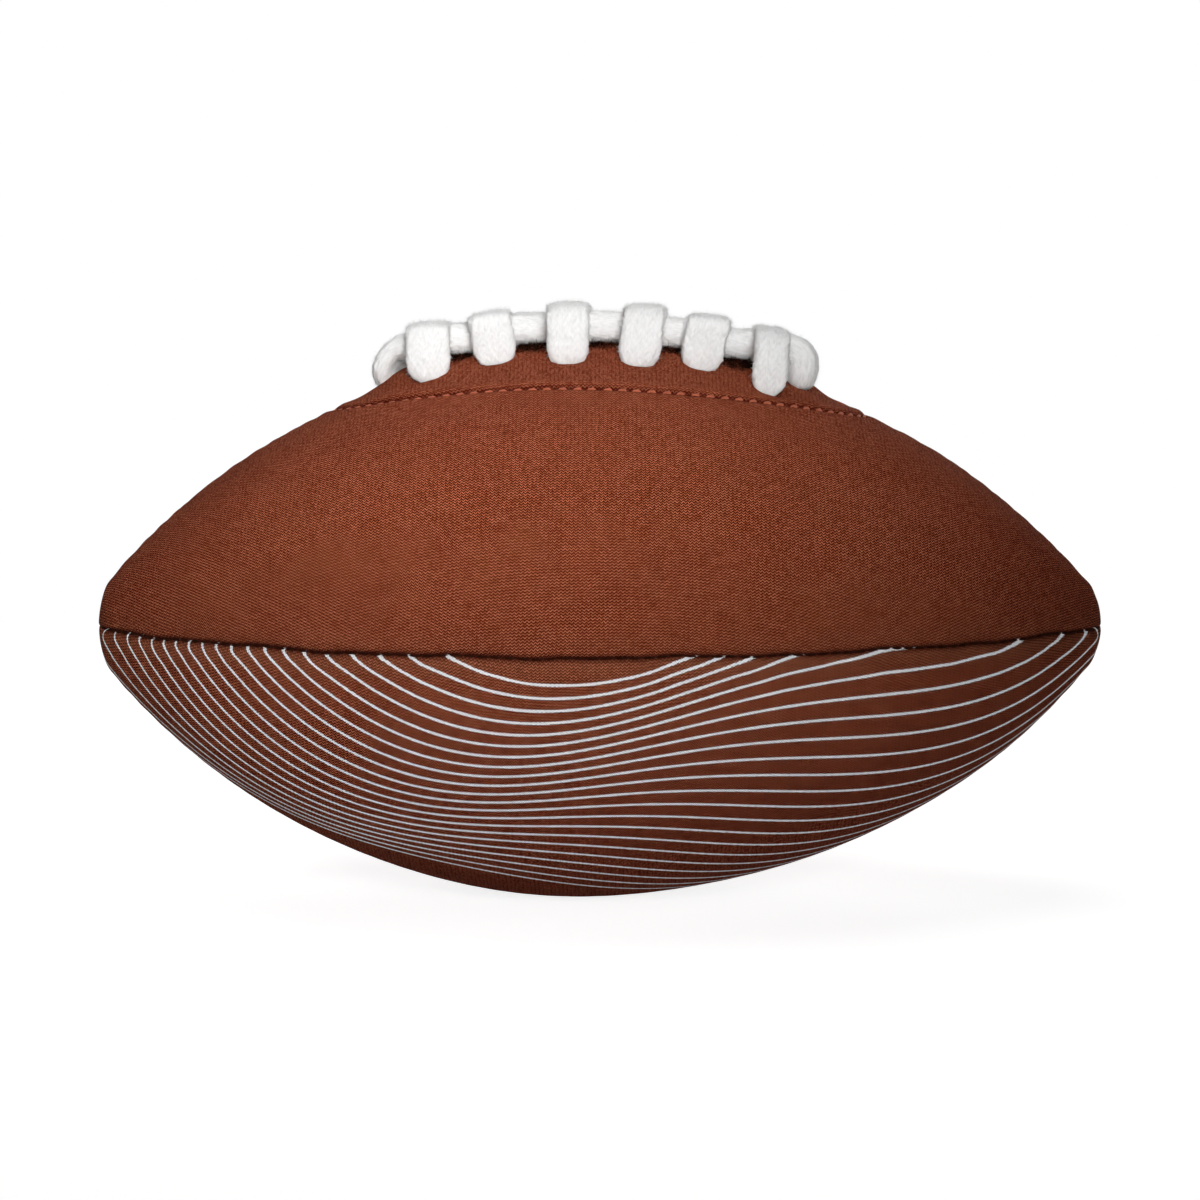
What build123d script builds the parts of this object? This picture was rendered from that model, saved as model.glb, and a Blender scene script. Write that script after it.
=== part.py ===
from build123d import *
import math
import os

# A soft play football: four sewn neoprene panels over a rubber bladder, laced along the top seam.
# Sizes are in millimetres. The long axis is X, the front is -Y and the lacing is on top at +Z.
# Insets are measured inwards from the outside of the cover.

# Outline of the ball
BALL_LENGTH = 230.0
BELLY_RADIUS = 62.0
NOSE_RADIUS = 10.0  # where the flank ends at the blunt tip
NOSE_ANGLE = 27.0  # degrees from a flat end to the blunt tip's edge
SHOULDER_ROUNDING = 8.0  # between the flank and the tip
LEAST_ROUNDING = 1.0

# Cover panels and their seams
PANEL_WALL = 2.5
SEAM_LAND = 0.3  # flat part of a panel's edge, under the part that rolls into the seam
SEAM_ALLOWANCE = 3.5  # how far the turned-in edge reaches past the wall
SEAM_TIP_GAP = 14.0  # the turned-in edges stop this far from the tips
SEAM_THREAD_DIAMETER = 0.6
SEAM_THREAD_TIP_GAP = 7.0
THREAD_GAP = 0.05

# Lacing: one cord, flat where it crosses and round in the two long strands
LACE_COUNT = 6
LACE_PITCH = 15.7
LACE_WIDTH = 10.5
LACE_THICKNESS = 3.0
LACE_EDGE_FLAT = 0.4  # of the lace's narrow sides
LACE_HOLE_OFFSET = 13.0  # of each row of holes from the top seam
LACE_OUTER_BEND = 6.0
LACE_FOLD = 0.8  # inside radius where the lace turns under the cover
LACE_TAIL = 10.0  # how far the last end runs on under the cover
STRAND_DIAMETER = 7.0
STRAND_SPACE = 1.2  # between the two long strands
LOOP_REACH = 1.15  # from the last cross-lace to where the strands bend down at the left end
LOOP_BEND = 8.0  # of the strands over the ends of the lips, down to the loop
DIVE_REACH = 2.85  # from the first cross-lace to where the strands turn down at the right end
DIVE_FOLD = 1.0  # inside radius of that turn
STRAND_TUCK = 1.5  # strand left under the patch
SEAT_GAP = 0.1
HOLE_GAP = 0.25
PASS_GAP = 0.2

# Lips of the cover, which stand up along the lacing slit and carry the strands
LIP_RISE = 3.0
LIP_HALF_WIDTH = 15.0
LIP_END_MARGIN = 1.75  # the lips start to fall this far inside the last cross-lace
LIP_END_ROUNDING = 12.0

# Reinforcing patches under the lacing, and the stitch row that shows their outline
PATCH_WALL = 1.2
PATCH_GAP = 0.1
PATCH_MARGIN = 3.0  # patch beyond the stitch row
STITCH_END_MARGIN = 21.75  # stitch row beyond the last cross-lace
STITCH_SIDE_MARGIN = 14.0  # stitch row beyond the row of holes
STITCH_PITCH = 3.3
STITCH_SPACE = 0.8  # between one stitch and the next
STITCH_DIAMETER = 0.7
STITCH_TILT = 8.0  # degrees off the line of the row
STITCH_SIDE_GAP = 0.3
STITCH_VALLEY_DEPTH = 0.8
STITCH_SEAM_GAP = 3.0  # the row stops this far from the top seam

# Tongue that keeps the lace off the bladder
TONGUE_WALL = 1.5
TONGUE_END_MARGIN = 13.75  # beyond the last cross-lace
TONGUE_SIDE_MARGIN = 5.0  # beyond the row of holes
TONGUE_CORNER = 6.0

# Bladder and its valve
BLADDER_WALL = 1.2
BLADDER_GAP = 0.3
VALVE_BEARING = 225.0  # degrees round the ball from the top seam, by way of the front
STEM_RADIUS = 4.5
STEM_GAP = 0.2
STEM_RECESS = 0.4
STEM_TAIL = 2.0  # stem past the slug
BOND_GAP = 0.05
VALVE_FLANGE_RADIUS = 11.0
VALVE_FLANGE_WALL = 1.2
SLUG_RADIUS = 2.4
SLUG_COLLAR_RADIUS = 3.2
SLUG_COLLAR_LENGTH = 3.0
SLUG_RECESS = 0.6  # below the top of the stem
SLUG_LENGTH = 12.0
SLUG_GAP = 0.05
NEEDLE_BORE_RADIUS = 1.0
NEEDLE_BORE_DEPTH = 7.0

# Arcs of the outline
HALF_LENGTH = BALL_LENGTH / 2
NOSE_RISE = NOSE_RADIUS * math.tan(math.radians(NOSE_ANGLE / 2))  # of the blunt tip past its edge
FLANK_RUN = HALF_LENGTH - NOSE_RISE
FLANK_FALL = BELLY_RADIUS - NOSE_RADIUS
BELLY_ARC = (FLANK_RUN**2 + FLANK_FALL**2) / (2 * FLANK_FALL)
BELLY_DROP = BELLY_ARC - BELLY_RADIUS  # the arc's centre is this far past the long axis
NOSE_ARC = (NOSE_RADIUS**2 + NOSE_RISE**2) / (2 * NOSE_RISE)
NOSE_CENTRE = HALF_LENGTH - NOSE_ARC

# Seams
SEAM_ROLL = PANEL_WALL - SEAM_LAND
FLANGE_INNER = PANEL_WALL + SEAM_ALLOWANCE
FLANGE_TIP = HALF_LENGTH - SEAM_TIP_GAP

# Lips, round in section about a line above the long axis
LIP_TOP = BELLY_RADIUS + LIP_RISE
LIP_FALL = LIP_TOP - math.sqrt(BELLY_RADIUS**2 - LIP_HALF_WIDTH**2)
LIP_BEND = (LIP_HALF_WIDTH**2 + LIP_FALL**2) / (2 * LIP_FALL)
LIP_AXIS = LIP_TOP - LIP_BEND
CLEAR = LIP_TOP + PANEL_WALL  # past the cover on any side

# Lacing
LACE_XS = [LACE_PITCH * (k - (LACE_COUNT - 1) / 2) for k in range(LACE_COUNT)]
LACE_EDGE_ROUNDING = (LACE_THICKNESS - LACE_EDGE_FLAT) / 2
LACE_INNER_BEND = LACE_FOLD + LACE_THICKNESS / 2
STRAND_OFFSET = (STRAND_DIAMETER + STRAND_SPACE) / 2
STRAND_SEAT = LIP_BEND + SEAT_GAP + STRAND_DIAMETER / 2  # from the lips' line to a strand's middle
STRAND_LIFT = LIP_RISE - LIP_BEND + math.sqrt(STRAND_SEAT**2 - STRAND_OFFSET**2)
LACE_OUTER_LIFT = STRAND_LIFT + (STRAND_DIAMETER + LACE_THICKNESS) / 2 + SEAT_GAP
LIP_ARC = BELLY_ARC + LIP_RISE
LIP_LAST = math.asin((LACE_XS[-1] - LIP_END_MARGIN) / BELLY_ARC)  # bearing where the lips start to fall
LOOP_X = LACE_XS[0] - LOOP_REACH
LOOP_FALL = STRAND_LIFT - STRAND_DIAMETER / 2 - SEAT_GAP  # until the loop's end lies on the cover
LOOP_SIDE = math.hypot(LOOP_BEND, STRAND_OFFSET)
LOOP_DROOP = math.atan2(LOOP_BEND, STRAND_OFFSET) + math.asin((LOOP_FALL - LOOP_BEND) / LOOP_SIDE)
DIVE_X = LACE_XS[-1] + DIVE_REACH
DIVE_BEND = DIVE_FOLD + STRAND_DIAMETER / 2

# Patches and their stitching
PATCH_OUTER = PANEL_WALL + PATCH_GAP
PATCH_INNER = PATCH_OUTER + PATCH_WALL
STITCH_HALF_LENGTH = LACE_XS[-1] + STITCH_END_MARGIN
STITCH_HALF_WIDTH = LACE_HOLE_OFFSET + STITCH_SIDE_MARGIN
STITCH_LENGTH = STITCH_PITCH - STITCH_SPACE
VALLEY_HALF_WIDTH = STITCH_DIAMETER / 2 + STITCH_SIDE_GAP
FLANGE_LACING = STITCH_HALF_LENGTH + PATCH_MARGIN + BLADDER_GAP

# Bladder and valve
BLADDER_OUTER = PANEL_WALL + BLADDER_GAP
BLADDER_INNER = BLADDER_OUTER + BLADDER_WALL
STEM_TOP = BELLY_RADIUS - STEM_RECESS
SLUG_TOP = STEM_TOP - SLUG_RECESS
STEM_BOTTOM = SLUG_TOP - SLUG_LENGTH - STEM_TAIL
COLLAR_TOP = SLUG_TOP - (SLUG_LENGTH - SLUG_COLLAR_LENGTH) / 2
COLLAR_BOTTOM = COLLAR_TOP - SLUG_COLLAR_LENGTH


def flank_radius(x):
    """Radius of the cover about the long axis, on the flank."""
    return math.sqrt(BELLY_ARC**2 - x**2) - BELLY_DROP


def surface_height(x, y, inset=0.0):
    """Height of a layer of the flank above the long axis."""
    return math.sqrt((flank_radius(x) - inset) ** 2 - y**2)


def lace_depth(x):
    """Depth of the lace's middle where it passes under the patch beside its holes."""
    fall = flank_radius(x) - surface_height(x, LACE_HOLE_OFFSET)
    return fall + PATCH_INNER + PASS_GAP + LACE_THICKNESS / 2


TONGUE_OUTER = lace_depth(LACE_XS[0]) + LACE_THICKNESS / 2 + PASS_GAP
TONGUE_INNER = TONGUE_OUTER + TONGUE_WALL
WELL_INSET = TONGUE_INNER + PASS_GAP


def arc_about(centre, start, end):
    """Short arc round a centre from one point to another."""
    centre, start, end = Vector(centre), Vector(start), Vector(end)
    way = ((start + end) / 2 - centre).normalized()
    return ThreePointArc(start, centre + way * (start - centre).length, end)


def meridian(inset):
    """The ball's outline over the top from tip to tip, moved in by inset."""
    rounding = max(SHOULDER_ROUNDING - inset, LEAST_ROUNDING)
    belly = BELLY_ARC - inset
    nose = NOSE_ARC - inset
    # centre of the shoulder, which touches the flank and the tip from inside
    apart = math.hypot(NOSE_CENTRE, BELLY_DROP)
    along = ((belly - rounding) ** 2 - (nose - rounding) ** 2 + apart**2) / (2 * apart)
    across = math.sqrt((belly - rounding) ** 2 - along**2)
    shoulder_x = (NOSE_CENTRE * along + BELLY_DROP * across) / apart
    shoulder_z = (BELLY_DROP * along - NOSE_CENTRE * across) / apart - BELLY_DROP
    flank_end_x = shoulder_x * belly / (belly - rounding)
    flank_end_z = (shoulder_z + BELLY_DROP) * belly / (belly - rounding) - BELLY_DROP
    nose_end_x = NOSE_CENTRE + (shoulder_x - NOSE_CENTRE) * nose / (nose - rounding)
    nose_end_z = shoulder_z * nose / (nose - rounding)
    tip = HALF_LENGTH - inset

    def end_arcs(side):
        flank_end = (side * flank_end_x, 0, flank_end_z)
        nose_end = (side * nose_end_x, 0, nose_end_z)
        shoulder = arc_about((side * shoulder_x, 0, shoulder_z), nose_end, flank_end)
        point = arc_about((side * NOSE_CENTRE, 0, 0), (side * tip, 0, 0), nose_end)
        return point, shoulder

    left_tip, left_shoulder = end_arcs(-1)
    right_tip, right_shoulder = end_arcs(1)
    flank_ends = [(side * flank_end_x, 0, flank_end_z) for side in (-1, 1)]
    flank = arc_about((0, 0, -BELLY_DROP), *flank_ends)
    return [left_tip, left_shoulder, flank, right_shoulder, right_tip]


def half_section(inset):
    """Face between the outline and the long axis."""
    tip = HALF_LENGTH - inset
    return make_face(meridian(inset) + [Line((tip, 0, 0), (-tip, 0, 0))])


def spindle(inset):
    """The whole ball, moved in by inset."""
    return revolve(half_section(inset), Axis.X)


def lens(inset):
    """The ball's flank alone, moved in by inset and run out to sharp tips."""
    tip = math.sqrt((BELLY_ARC - inset) ** 2 - BELLY_DROP**2)
    flank = arc_about((0, 0, -BELLY_DROP), (-tip, 0, 0), (tip, 0, 0))
    return revolve(make_face([flank, Line((tip, 0, 0), (-tip, 0, 0))]), Axis.X)


def seam_band(outer, inner, start, end):
    """Flat band between two insets in the top seam's plane, from one x to another."""
    window = Plane.XZ * Pos((start + end) / 2, 0) * Rectangle(end - start, 2 * CLEAR)
    return (half_section(outer) - half_section(inner)) & window


def seam_valley(crest):
    """Cutter along the crest of a seam from left to right, between two edges that roll into it."""
    roll = SEAM_ROLL
    path = Wire(crest)
    section = [
        Line((-roll, 0), (-roll, roll)),
        Line((-roll, roll), (roll, roll)),
        Line((roll, roll), (roll, 0)),
        arc_about((roll, -roll), (roll, 0), (0, -roll)),
        arc_about((-roll, -roll), (0, -roll), (-roll, 0)),
    ]
    # the outside of the ball is along the section's Y
    start = Plane(origin=path @ 0, x_dir=(0, 1, 0), z_dir=path % 0)
    return sweep(start * make_face(section), path)


def lacing_frame(x):
    """Plane on the top seam: X along the outline, Y across the ball, Z square to the cover."""
    lean = math.asin(x / BELLY_ARC)
    along = (math.cos(lean), 0, -math.sin(lean))
    outward = (math.sin(lean), 0, math.cos(lean))
    return Plane((x, 0, flank_radius(x)), x_dir=along, z_dir=outward)


def lace_holes():
    """Cutters for the slots of the cross-laces and the two holes of the strands' ends."""
    reach = 2 * (PATCH_INNER + PASS_GAP)
    slot = RectangleRounded(
        LACE_WIDTH + 2 * HOLE_GAP,
        LACE_THICKNESS + 2 * HOLE_GAP,
        LACE_EDGE_ROUNDING + HOLE_GAP,
    )
    hole = Circle(STRAND_DIAMETER / 2 + HOLE_GAP)
    cutters = []
    for side in (-1, 1):
        for x in LACE_XS:
            place = lacing_frame(x) * Pos(0, side * LACE_HOLE_OFFSET)
            cutters.append(extrude(place * slot, reach, both=True))
        place = lacing_frame(DIVE_X) * Pos(DIVE_BEND, side * STRAND_OFFSET)
        cutters.append(extrude(place * hole, reach, both=True))
    return cutters


def over_flank(radius, bearing):
    """Point above the long axis, by its distance and bearing from the middle of the flank's arc."""
    return Vector(radius * math.sin(bearing), 0, radius * math.cos(bearing) - BELLY_DROP)


def lip_line():
    """Top seam's line over the flank: along the cover, up onto the lips and down again."""
    flank = meridian(0)[2]
    near, far = LIP_ARC - LIP_END_ROUNDING, BELLY_ARC + LIP_END_ROUNDING
    turn = math.acos((near**2 + far**2 - (2 * LIP_END_ROUNDING) ** 2) / (2 * near * far))
    bends, feet, tops = [], [], []
    for side in (-1, 1):
        high = over_flank(near, side * LIP_LAST)
        low = over_flank(far, side * (LIP_LAST + turn))
        feet.append(over_flank(BELLY_ARC, side * (LIP_LAST + turn)))
        tops.append(over_flank(LIP_ARC, side * LIP_LAST))
        bends.append(arc_about(low, feet[-1], (high + low) / 2))
        bends.append(arc_about(high, (high + low) / 2, tops[-1]))
    centre = (0, 0, -BELLY_DROP)
    runs = [(flank @ 0, feet[0]), tops, (feet[1], flank @ 1)]
    return bends + [arc_about(centre, *run) for run in runs]


def front_lip():
    """Swelling along the slit, round in section, from the slit to the front."""
    sink = LIP_LAST + math.acos(1 - (LIP_RISE + 2 * PANEL_WALL) / LIP_END_ROUNDING)
    ends = []
    for side in (-1, 1):
        pivot = over_flank(LIP_ARC - LIP_END_ROUNDING, side * LIP_LAST)
        low = pivot + Vector(side * math.sin(sink), 0, math.cos(sink)) * LIP_END_ROUNDING
        ends.append((arc_about(pivot, low, over_flank(LIP_ARC, side * LIP_LAST)), low))
    (left, left_low), (right, right_low) = ends
    feet = [Vector(low.X, 0, LIP_AXIS) for low in (left_low, right_low)]
    outline = [
        left,
        arc_about((0, 0, -BELLY_DROP), left @ 1, right @ 1),
        right,
        Line(right_low, feet[1]),
        Line(feet[1], feet[0]),
        Line(feet[0], left_low),
    ]
    return revolve(make_face(outline), Axis((0, 0, LIP_AXIS), (1, 0, 0)), 180)


def leaf(grow):
    """Upright prism of the stitch row's outline, moved out by grow."""
    outline = Ellipse(STITCH_HALF_LENGTH + grow, STITCH_HALF_WIDTH + grow)
    return extrude(outline, CLEAR)


def cover_quarter(laced):
    """Panel between the top seam and the front seam, with rolled and turned-in edges."""
    form = revolve(half_section(0), Axis.X, 90)
    plain_seam = meridian(0)
    top_seam = plain_seam
    spans = [(-FLANGE_TIP, FLANGE_TIP)]
    if laced:
        form += front_lip()
        top_seam = plain_seam[:2] + lip_line() + plain_seam[3:]
        spans = [(-FLANGE_TIP, -FLANGE_LACING), (FLANGE_LACING, FLANGE_TIP)]
    panel = form - revolve(half_section(PANEL_WALL), Axis.X, 90)
    panel = panel - seam_valley(top_seam) - seam_valley(plain_seam).rotate(Axis.X, 90)
    for start, end in spans:
        band = seam_band(SEAM_ROLL, FLANGE_INNER, start, end)
        panel += extrude(band, PANEL_WALL, dir=(0, -1, 0))
    band = seam_band(SEAM_ROLL, FLANGE_INNER, -FLANGE_TIP, FLANGE_TIP)
    panel += extrude(band, PANEL_WALL, dir=(0, 1, 0)).rotate(Axis.X, 90)
    return panel


def upper_panel(holes):
    """Front panel beside the lacing, with its lip, its holes and the valley of the stitch row."""
    valley = leaf(VALLEY_HALF_WIDTH) - leaf(-VALLEY_HALF_WIDTH) - lens(STITCH_VALLEY_DEPTH)
    return cover_quarter(True) - valley - holes


def lace_patch(holes):
    """Front reinforcing patch, sewn under the cover beside the slit."""
    layer = lens(PATCH_OUTER) - lens(PATCH_INNER)
    front_half = Pos(0, -CLEAR / 2, 0) * Box(BALL_LENGTH, CLEAR, 2 * CLEAR)
    return (layer & leaf(PATCH_MARGIN) & front_half) - holes


def patch_stitching():
    """Row of stitches that holds the front patch, lying in its valley."""
    steps = 600
    depth = STITCH_VALLEY_DEPTH - THREAD_GAP - STITCH_DIAMETER / 2
    row = []
    for k in range(steps + 1):
        turn = math.pi * k / steps
        x = STITCH_HALF_LENGTH * math.cos(turn)
        y = -STITCH_HALF_WIDTH * math.sin(turn)
        if -y > STITCH_SEAM_GAP:
            row.append(Vector(x, y, surface_height(x, y, depth)))
    reached = [0.0]
    for before, after in zip(row, row[1:]):
        reached.append(reached[-1] + (after - before).length)
    count = int(reached[-1] / STITCH_PITCH)
    first = (reached[-1] - (count - 1) * STITCH_PITCH) / 2
    stitches = []
    for k in range(count):
        near = next(j for j in range(len(row)) if reached[j] >= first + k * STITCH_PITCH)
        heading = (row[near + 1] - row[near - 1]).normalized()
        # square to the flank, whose arc is centred past the long axis
        radius = math.hypot(row[near].Y, row[near].Z)
        swell = (radius + BELLY_DROP) / radius
        outward = Vector(row[near].X, row[near].Y * swell, row[near].Z * swell).normalized()
        heading = heading.rotate(Axis((0, 0, 0), outward), STITCH_TILT)
        place = Plane(row[near], x_dir=outward, z_dir=heading)
        stitch = place * RegularPolygon(STITCH_DIAMETER / 2, 6)
        stitches.append(extrude(stitch, STITCH_LENGTH / 2, both=True))
    return Compound(children=stitches)


def seam_thread(start, end):
    """Thread along the top seam, held between the rolled edges."""
    radius = SEAM_THREAD_DIAMETER / 2
    inset = SEAM_ROLL - math.sqrt((SEAM_ROLL + radius + THREAD_GAP) ** 2 - SEAM_ROLL**2)
    ends = [(x, 0, math.sqrt((BELLY_ARC - inset) ** 2 - x**2) - BELLY_DROP) for x in (start, end)]
    path = arc_about((0, 0, -BELLY_DROP), *ends)
    return sweep(Plane(origin=path @ 0, z_dir=path % 0) * Circle(radius), path)


def lace_section(x, slip, y, lift):
    """Section of the flat lace where it runs across the ball."""
    frame = lacing_frame(x)
    section = RectangleRounded(LACE_WIDTH, LACE_THICKNESS, LACE_EDGE_ROUNDING)
    middle = frame.from_local_coords(Vector(slip, y, lift))
    return Plane(middle, x_dir=frame.x_dir, z_dir=(0, 1, 0)) * section


def cross_lace(x):
    """One turn of the flat lace: up through a far hole, over the strands, down on the near side."""
    frame = lacing_frame(x)
    deep = -lace_depth(x)
    inner_end = LACE_HOLE_OFFSET - LACE_INNER_BEND - LACE_FOLD
    corners = [
        (0, inner_end, deep),
        (0, LACE_HOLE_OFFSET, deep),
        (0, LACE_HOLE_OFFSET, LACE_OUTER_LIFT),
        (0, -LACE_HOLE_OFFSET, LACE_OUTER_LIFT),
        (0, -LACE_HOLE_OFFSET, deep),
        (0, -inner_end, deep),
    ]
    points = [frame.from_local_coords(Vector(corner)) for corner in corners]
    bends = [LACE_INNER_BEND, LACE_OUTER_BEND, LACE_OUTER_BEND, LACE_INNER_BEND]
    arrives = lace_section(x, 0, inner_end, deep)
    leaves = lace_section(x, 0, -inner_end, deep)
    return sweep(arrives, FilletPolyline(*points, radius=bends)), arrives, leaves


def strand_route(side):
    """Edges of one long strand, from its hole at the right end to the loop at the left end."""
    y = side * STRAND_OFFSET
    # the far strand runs on into the cross-laces, and the near one is tucked in and ends
    depth = lace_depth(LACE_XS[-1]) if side > 0 else PATCH_INNER + STRAND_TUCK
    dive = lacing_frame(DIVE_X)
    tucked = dive.from_local_coords(Vector(DIVE_BEND, y, -depth))
    risen = dive.from_local_coords(Vector(DIVE_BEND, y, STRAND_LIFT - DIVE_BEND))
    corner = dive.from_local_coords(Vector(0, y, STRAND_LIFT - DIVE_BEND))
    laid = dive.from_local_coords(Vector(0, y, STRAND_LIFT))
    over_end = lacing_frame(LOOP_X)
    pivot = STRAND_LIFT - LOOP_BEND
    past = -LOOP_BEND * math.sin(LOOP_DROOP)
    lift = pivot + LOOP_BEND * math.cos(LOOP_DROOP)
    reached = over_end.from_local_coords(Vector(0, y, STRAND_LIFT))
    bend_centre = over_end.from_local_coords(Vector(0, y, pivot))
    bent = over_end.from_local_coords(Vector(past, y, lift))
    middle = over_end.from_local_coords(Vector(past, 0, lift))
    tip_past = past - STRAND_OFFSET * math.cos(LOOP_DROOP)
    tip = Vector(tip_past, 0, lift - STRAND_OFFSET * math.sin(LOOP_DROOP))
    return [
        Line(tucked, risen),
        arc_about(corner, risen, laid),
        arc_about((0, y, -BELLY_DROP), laid, reached),
        arc_about(bend_centre, reached, bent),
        arc_about(middle, bent, over_end.from_local_coords(tip)),
    ]


def lace():
    """The whole lace: two long strands joined by a loop, then the cross-laces over and under."""
    path = Wire(strand_route(-1) + strand_route(1))
    section = Plane(origin=path @ 0, z_dir=path % 0) * Circle(STRAND_DIAMETER / 2)
    cord = sweep(section, path)
    swept = path.length * math.pi * STRAND_DIAMETER**2 / 4
    print(f"lace strands: {path.length:.1f} mm long, volume {cord.volume:.0f} of {swept:.0f}")
    deep = -lace_depth(LACE_XS[-1])
    last = lace_section(DIVE_X, DIVE_BEND, STRAND_OFFSET - STRAND_DIAMETER / 4, deep)
    turns = []
    for x in reversed(LACE_XS):
        turn, arrives, leaves = cross_lace(x)
        turns += [loft([last, arrives], ruled=True), turn]
        last = leaves
    turns.append(extrude(last, LACE_TAIL, dir=(0, 1, 0)))
    print(f"lace gaps: strand to strand {STRAND_SPACE:.2f}, turn to turn {LACE_PITCH - LACE_WIDTH:.2f}")
    return cord + turns


def tongue_plan(grow):
    """Upright prism of the tongue's outline, moved out by grow."""
    half_length = LACE_XS[-1] + TONGUE_END_MARGIN + grow
    half_width = LACE_HOLE_OFFSET + TONGUE_SIDE_MARGIN + grow
    return extrude(RectangleRounded(2 * half_length, 2 * half_width, TONGUE_CORNER + grow), CLEAR)


def lace_tongue():
    """Flap between the lace and the bladder."""
    return (lens(TONGUE_OUTER) - lens(TONGUE_INNER)) & tongue_plan(0)


def bladder_form(margin):
    """Outside of the bladder, or its cavity when moved in by the margin."""
    spare = BLADDER_GAP + margin
    tip = FLANGE_TIP + spare
    lacing = FLANGE_LACING - spare
    form = spindle(BLADDER_OUTER + margin)
    for quarter in range(4):
        spans = [(-tip, -lacing), (lacing, tip)] if quarter == 0 else [(-tip, tip)]
        for start, end in spans:
            band = seam_band(PANEL_WALL, FLANGE_INNER + spare, start, end)
            form -= extrude(band, PANEL_WALL + spare, both=True).rotate(Axis.X, 90 * quarter)
    form -= leaf(PATCH_MARGIN + spare) - lens(PATCH_INNER + spare)
    form -= tongue_plan(spare) - lens(WELL_INSET + margin)
    return form


def round_bar(radius, bottom, top):
    """Upright bar between two heights above the long axis."""
    return Pos(0, 0, bottom) * extrude(Circle(radius), top - bottom)


def at_valve(piece):
    """Turns a piece made at the top round to the valve."""
    return piece.rotate(Axis.X, VALVE_BEARING)


def bladder():
    """Rubber bladder, shaped round the turned-in seams, the patches and the lacing."""
    hole = round_bar(STEM_RADIUS + BOND_GAP, STEM_BOTTOM, CLEAR)
    return bladder_form(0) - bladder_form(BLADDER_WALL) - at_valve(hole)


def valve_stem():
    """Valve body: a flange bonded inside the bladder and a stem that comes out through the cover."""
    under = BLADDER_INNER + BOND_GAP
    flange = lens(under) - lens(under + VALVE_FLANGE_WALL)
    stem = round_bar(STEM_RADIUS, STEM_BOTTOM, STEM_TOP)
    stem += flange & round_bar(VALVE_FLANGE_RADIUS, 0, CLEAR)
    stem -= round_bar(SLUG_RADIUS + SLUG_GAP, STEM_BOTTOM, STEM_TOP)
    stem -= round_bar(SLUG_COLLAR_RADIUS + SLUG_GAP, COLLAR_BOTTOM - SLUG_GAP, COLLAR_TOP + SLUG_GAP)
    return at_valve(stem)


def valve_slug():
    """Rubber plug in the stem, with the hole that takes an inflating needle."""
    slug = round_bar(SLUG_RADIUS, SLUG_TOP - SLUG_LENGTH, SLUG_TOP)
    slug += round_bar(SLUG_COLLAR_RADIUS, COLLAR_BOTTOM, COLLAR_TOP)
    slug -= round_bar(NEEDLE_BORE_RADIUS, SLUG_TOP - NEEDLE_BORE_DEPTH, SLUG_TOP)
    return at_valve(slug)


def pieces():
    """Every piece by name, placed about the long axis."""
    holes = lace_holes()
    upper_front = upper_panel(holes)
    plain = cover_quarter(False)
    valve_hole = round_bar(STEM_RADIUS + STEM_GAP, STEM_BOTTOM, CLEAR)
    front_patch = lace_patch(holes)
    front_stitching = patch_stitching()
    thread_end = HALF_LENGTH - SEAM_THREAD_TIP_GAP
    whole_thread = seam_thread(-thread_end, thread_end)
    return {
        "bladder": bladder(),
        "valve_stem": valve_stem(),
        "valve_slug": valve_slug(),
        "upper_front_panel": upper_front,
        "upper_rear_panel": mirror(upper_front, Plane.XZ),
        "lower_front_panel": plain.rotate(Axis.X, 90),
        "lower_rear_panel": plain.rotate(Axis.X, 180) - at_valve(valve_hole),
        "front_seam_thread": whole_thread.rotate(Axis.X, 90),
        "bottom_seam_thread": whole_thread.rotate(Axis.X, 180),
        "rear_seam_thread": whole_thread.rotate(Axis.X, 270),
        "left_top_seam_thread": seam_thread(-thread_end, -STITCH_HALF_LENGTH),
        "right_top_seam_thread": seam_thread(STITCH_HALF_LENGTH, thread_end),
        "front_lace_patch": front_patch,
        "rear_lace_patch": mirror(front_patch, Plane.XZ),
        "front_patch_stitching": front_stitching,
        "rear_patch_stitching": mirror(front_stitching, Plane.XZ),
        "lace_tongue": lace_tongue(),
        "lace": lace(),
    }


os.makedirs("parts", exist_ok=True)
for name, piece in pieces().items():
    placed = Pos(0, 0, BELLY_RADIUS) * piece
    placed.label = name
    export_step(placed, f"parts/{name}.step")
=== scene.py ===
import bpy
import math
import numpy as np
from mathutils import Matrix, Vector


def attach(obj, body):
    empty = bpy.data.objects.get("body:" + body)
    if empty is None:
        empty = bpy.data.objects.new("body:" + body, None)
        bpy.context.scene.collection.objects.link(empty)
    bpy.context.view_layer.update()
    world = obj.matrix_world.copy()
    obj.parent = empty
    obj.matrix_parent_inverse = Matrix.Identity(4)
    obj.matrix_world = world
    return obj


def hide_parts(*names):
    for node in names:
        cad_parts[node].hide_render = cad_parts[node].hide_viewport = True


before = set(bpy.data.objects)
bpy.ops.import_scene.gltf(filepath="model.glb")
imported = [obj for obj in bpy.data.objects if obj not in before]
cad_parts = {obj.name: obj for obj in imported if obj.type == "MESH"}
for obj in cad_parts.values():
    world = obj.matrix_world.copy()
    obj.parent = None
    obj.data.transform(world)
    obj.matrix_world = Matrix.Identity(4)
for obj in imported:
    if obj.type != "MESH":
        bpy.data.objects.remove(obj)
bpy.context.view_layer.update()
bpy.ops.object.select_all(action="DESELECT")
print("frame loaded")

# Lengths are millimetres about the ball's long axis, and makePiece turns them to metres. The flat sizes
# of cloth, the depths in materials and the studio are in metres.
# Bearings are radians round the ball from the lacing: a quarter turn on is the front.
toMetres = 0.001
fullTurn = 2 * math.pi
halfPanel = math.pi / 4       # four panels go round the ball

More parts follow.
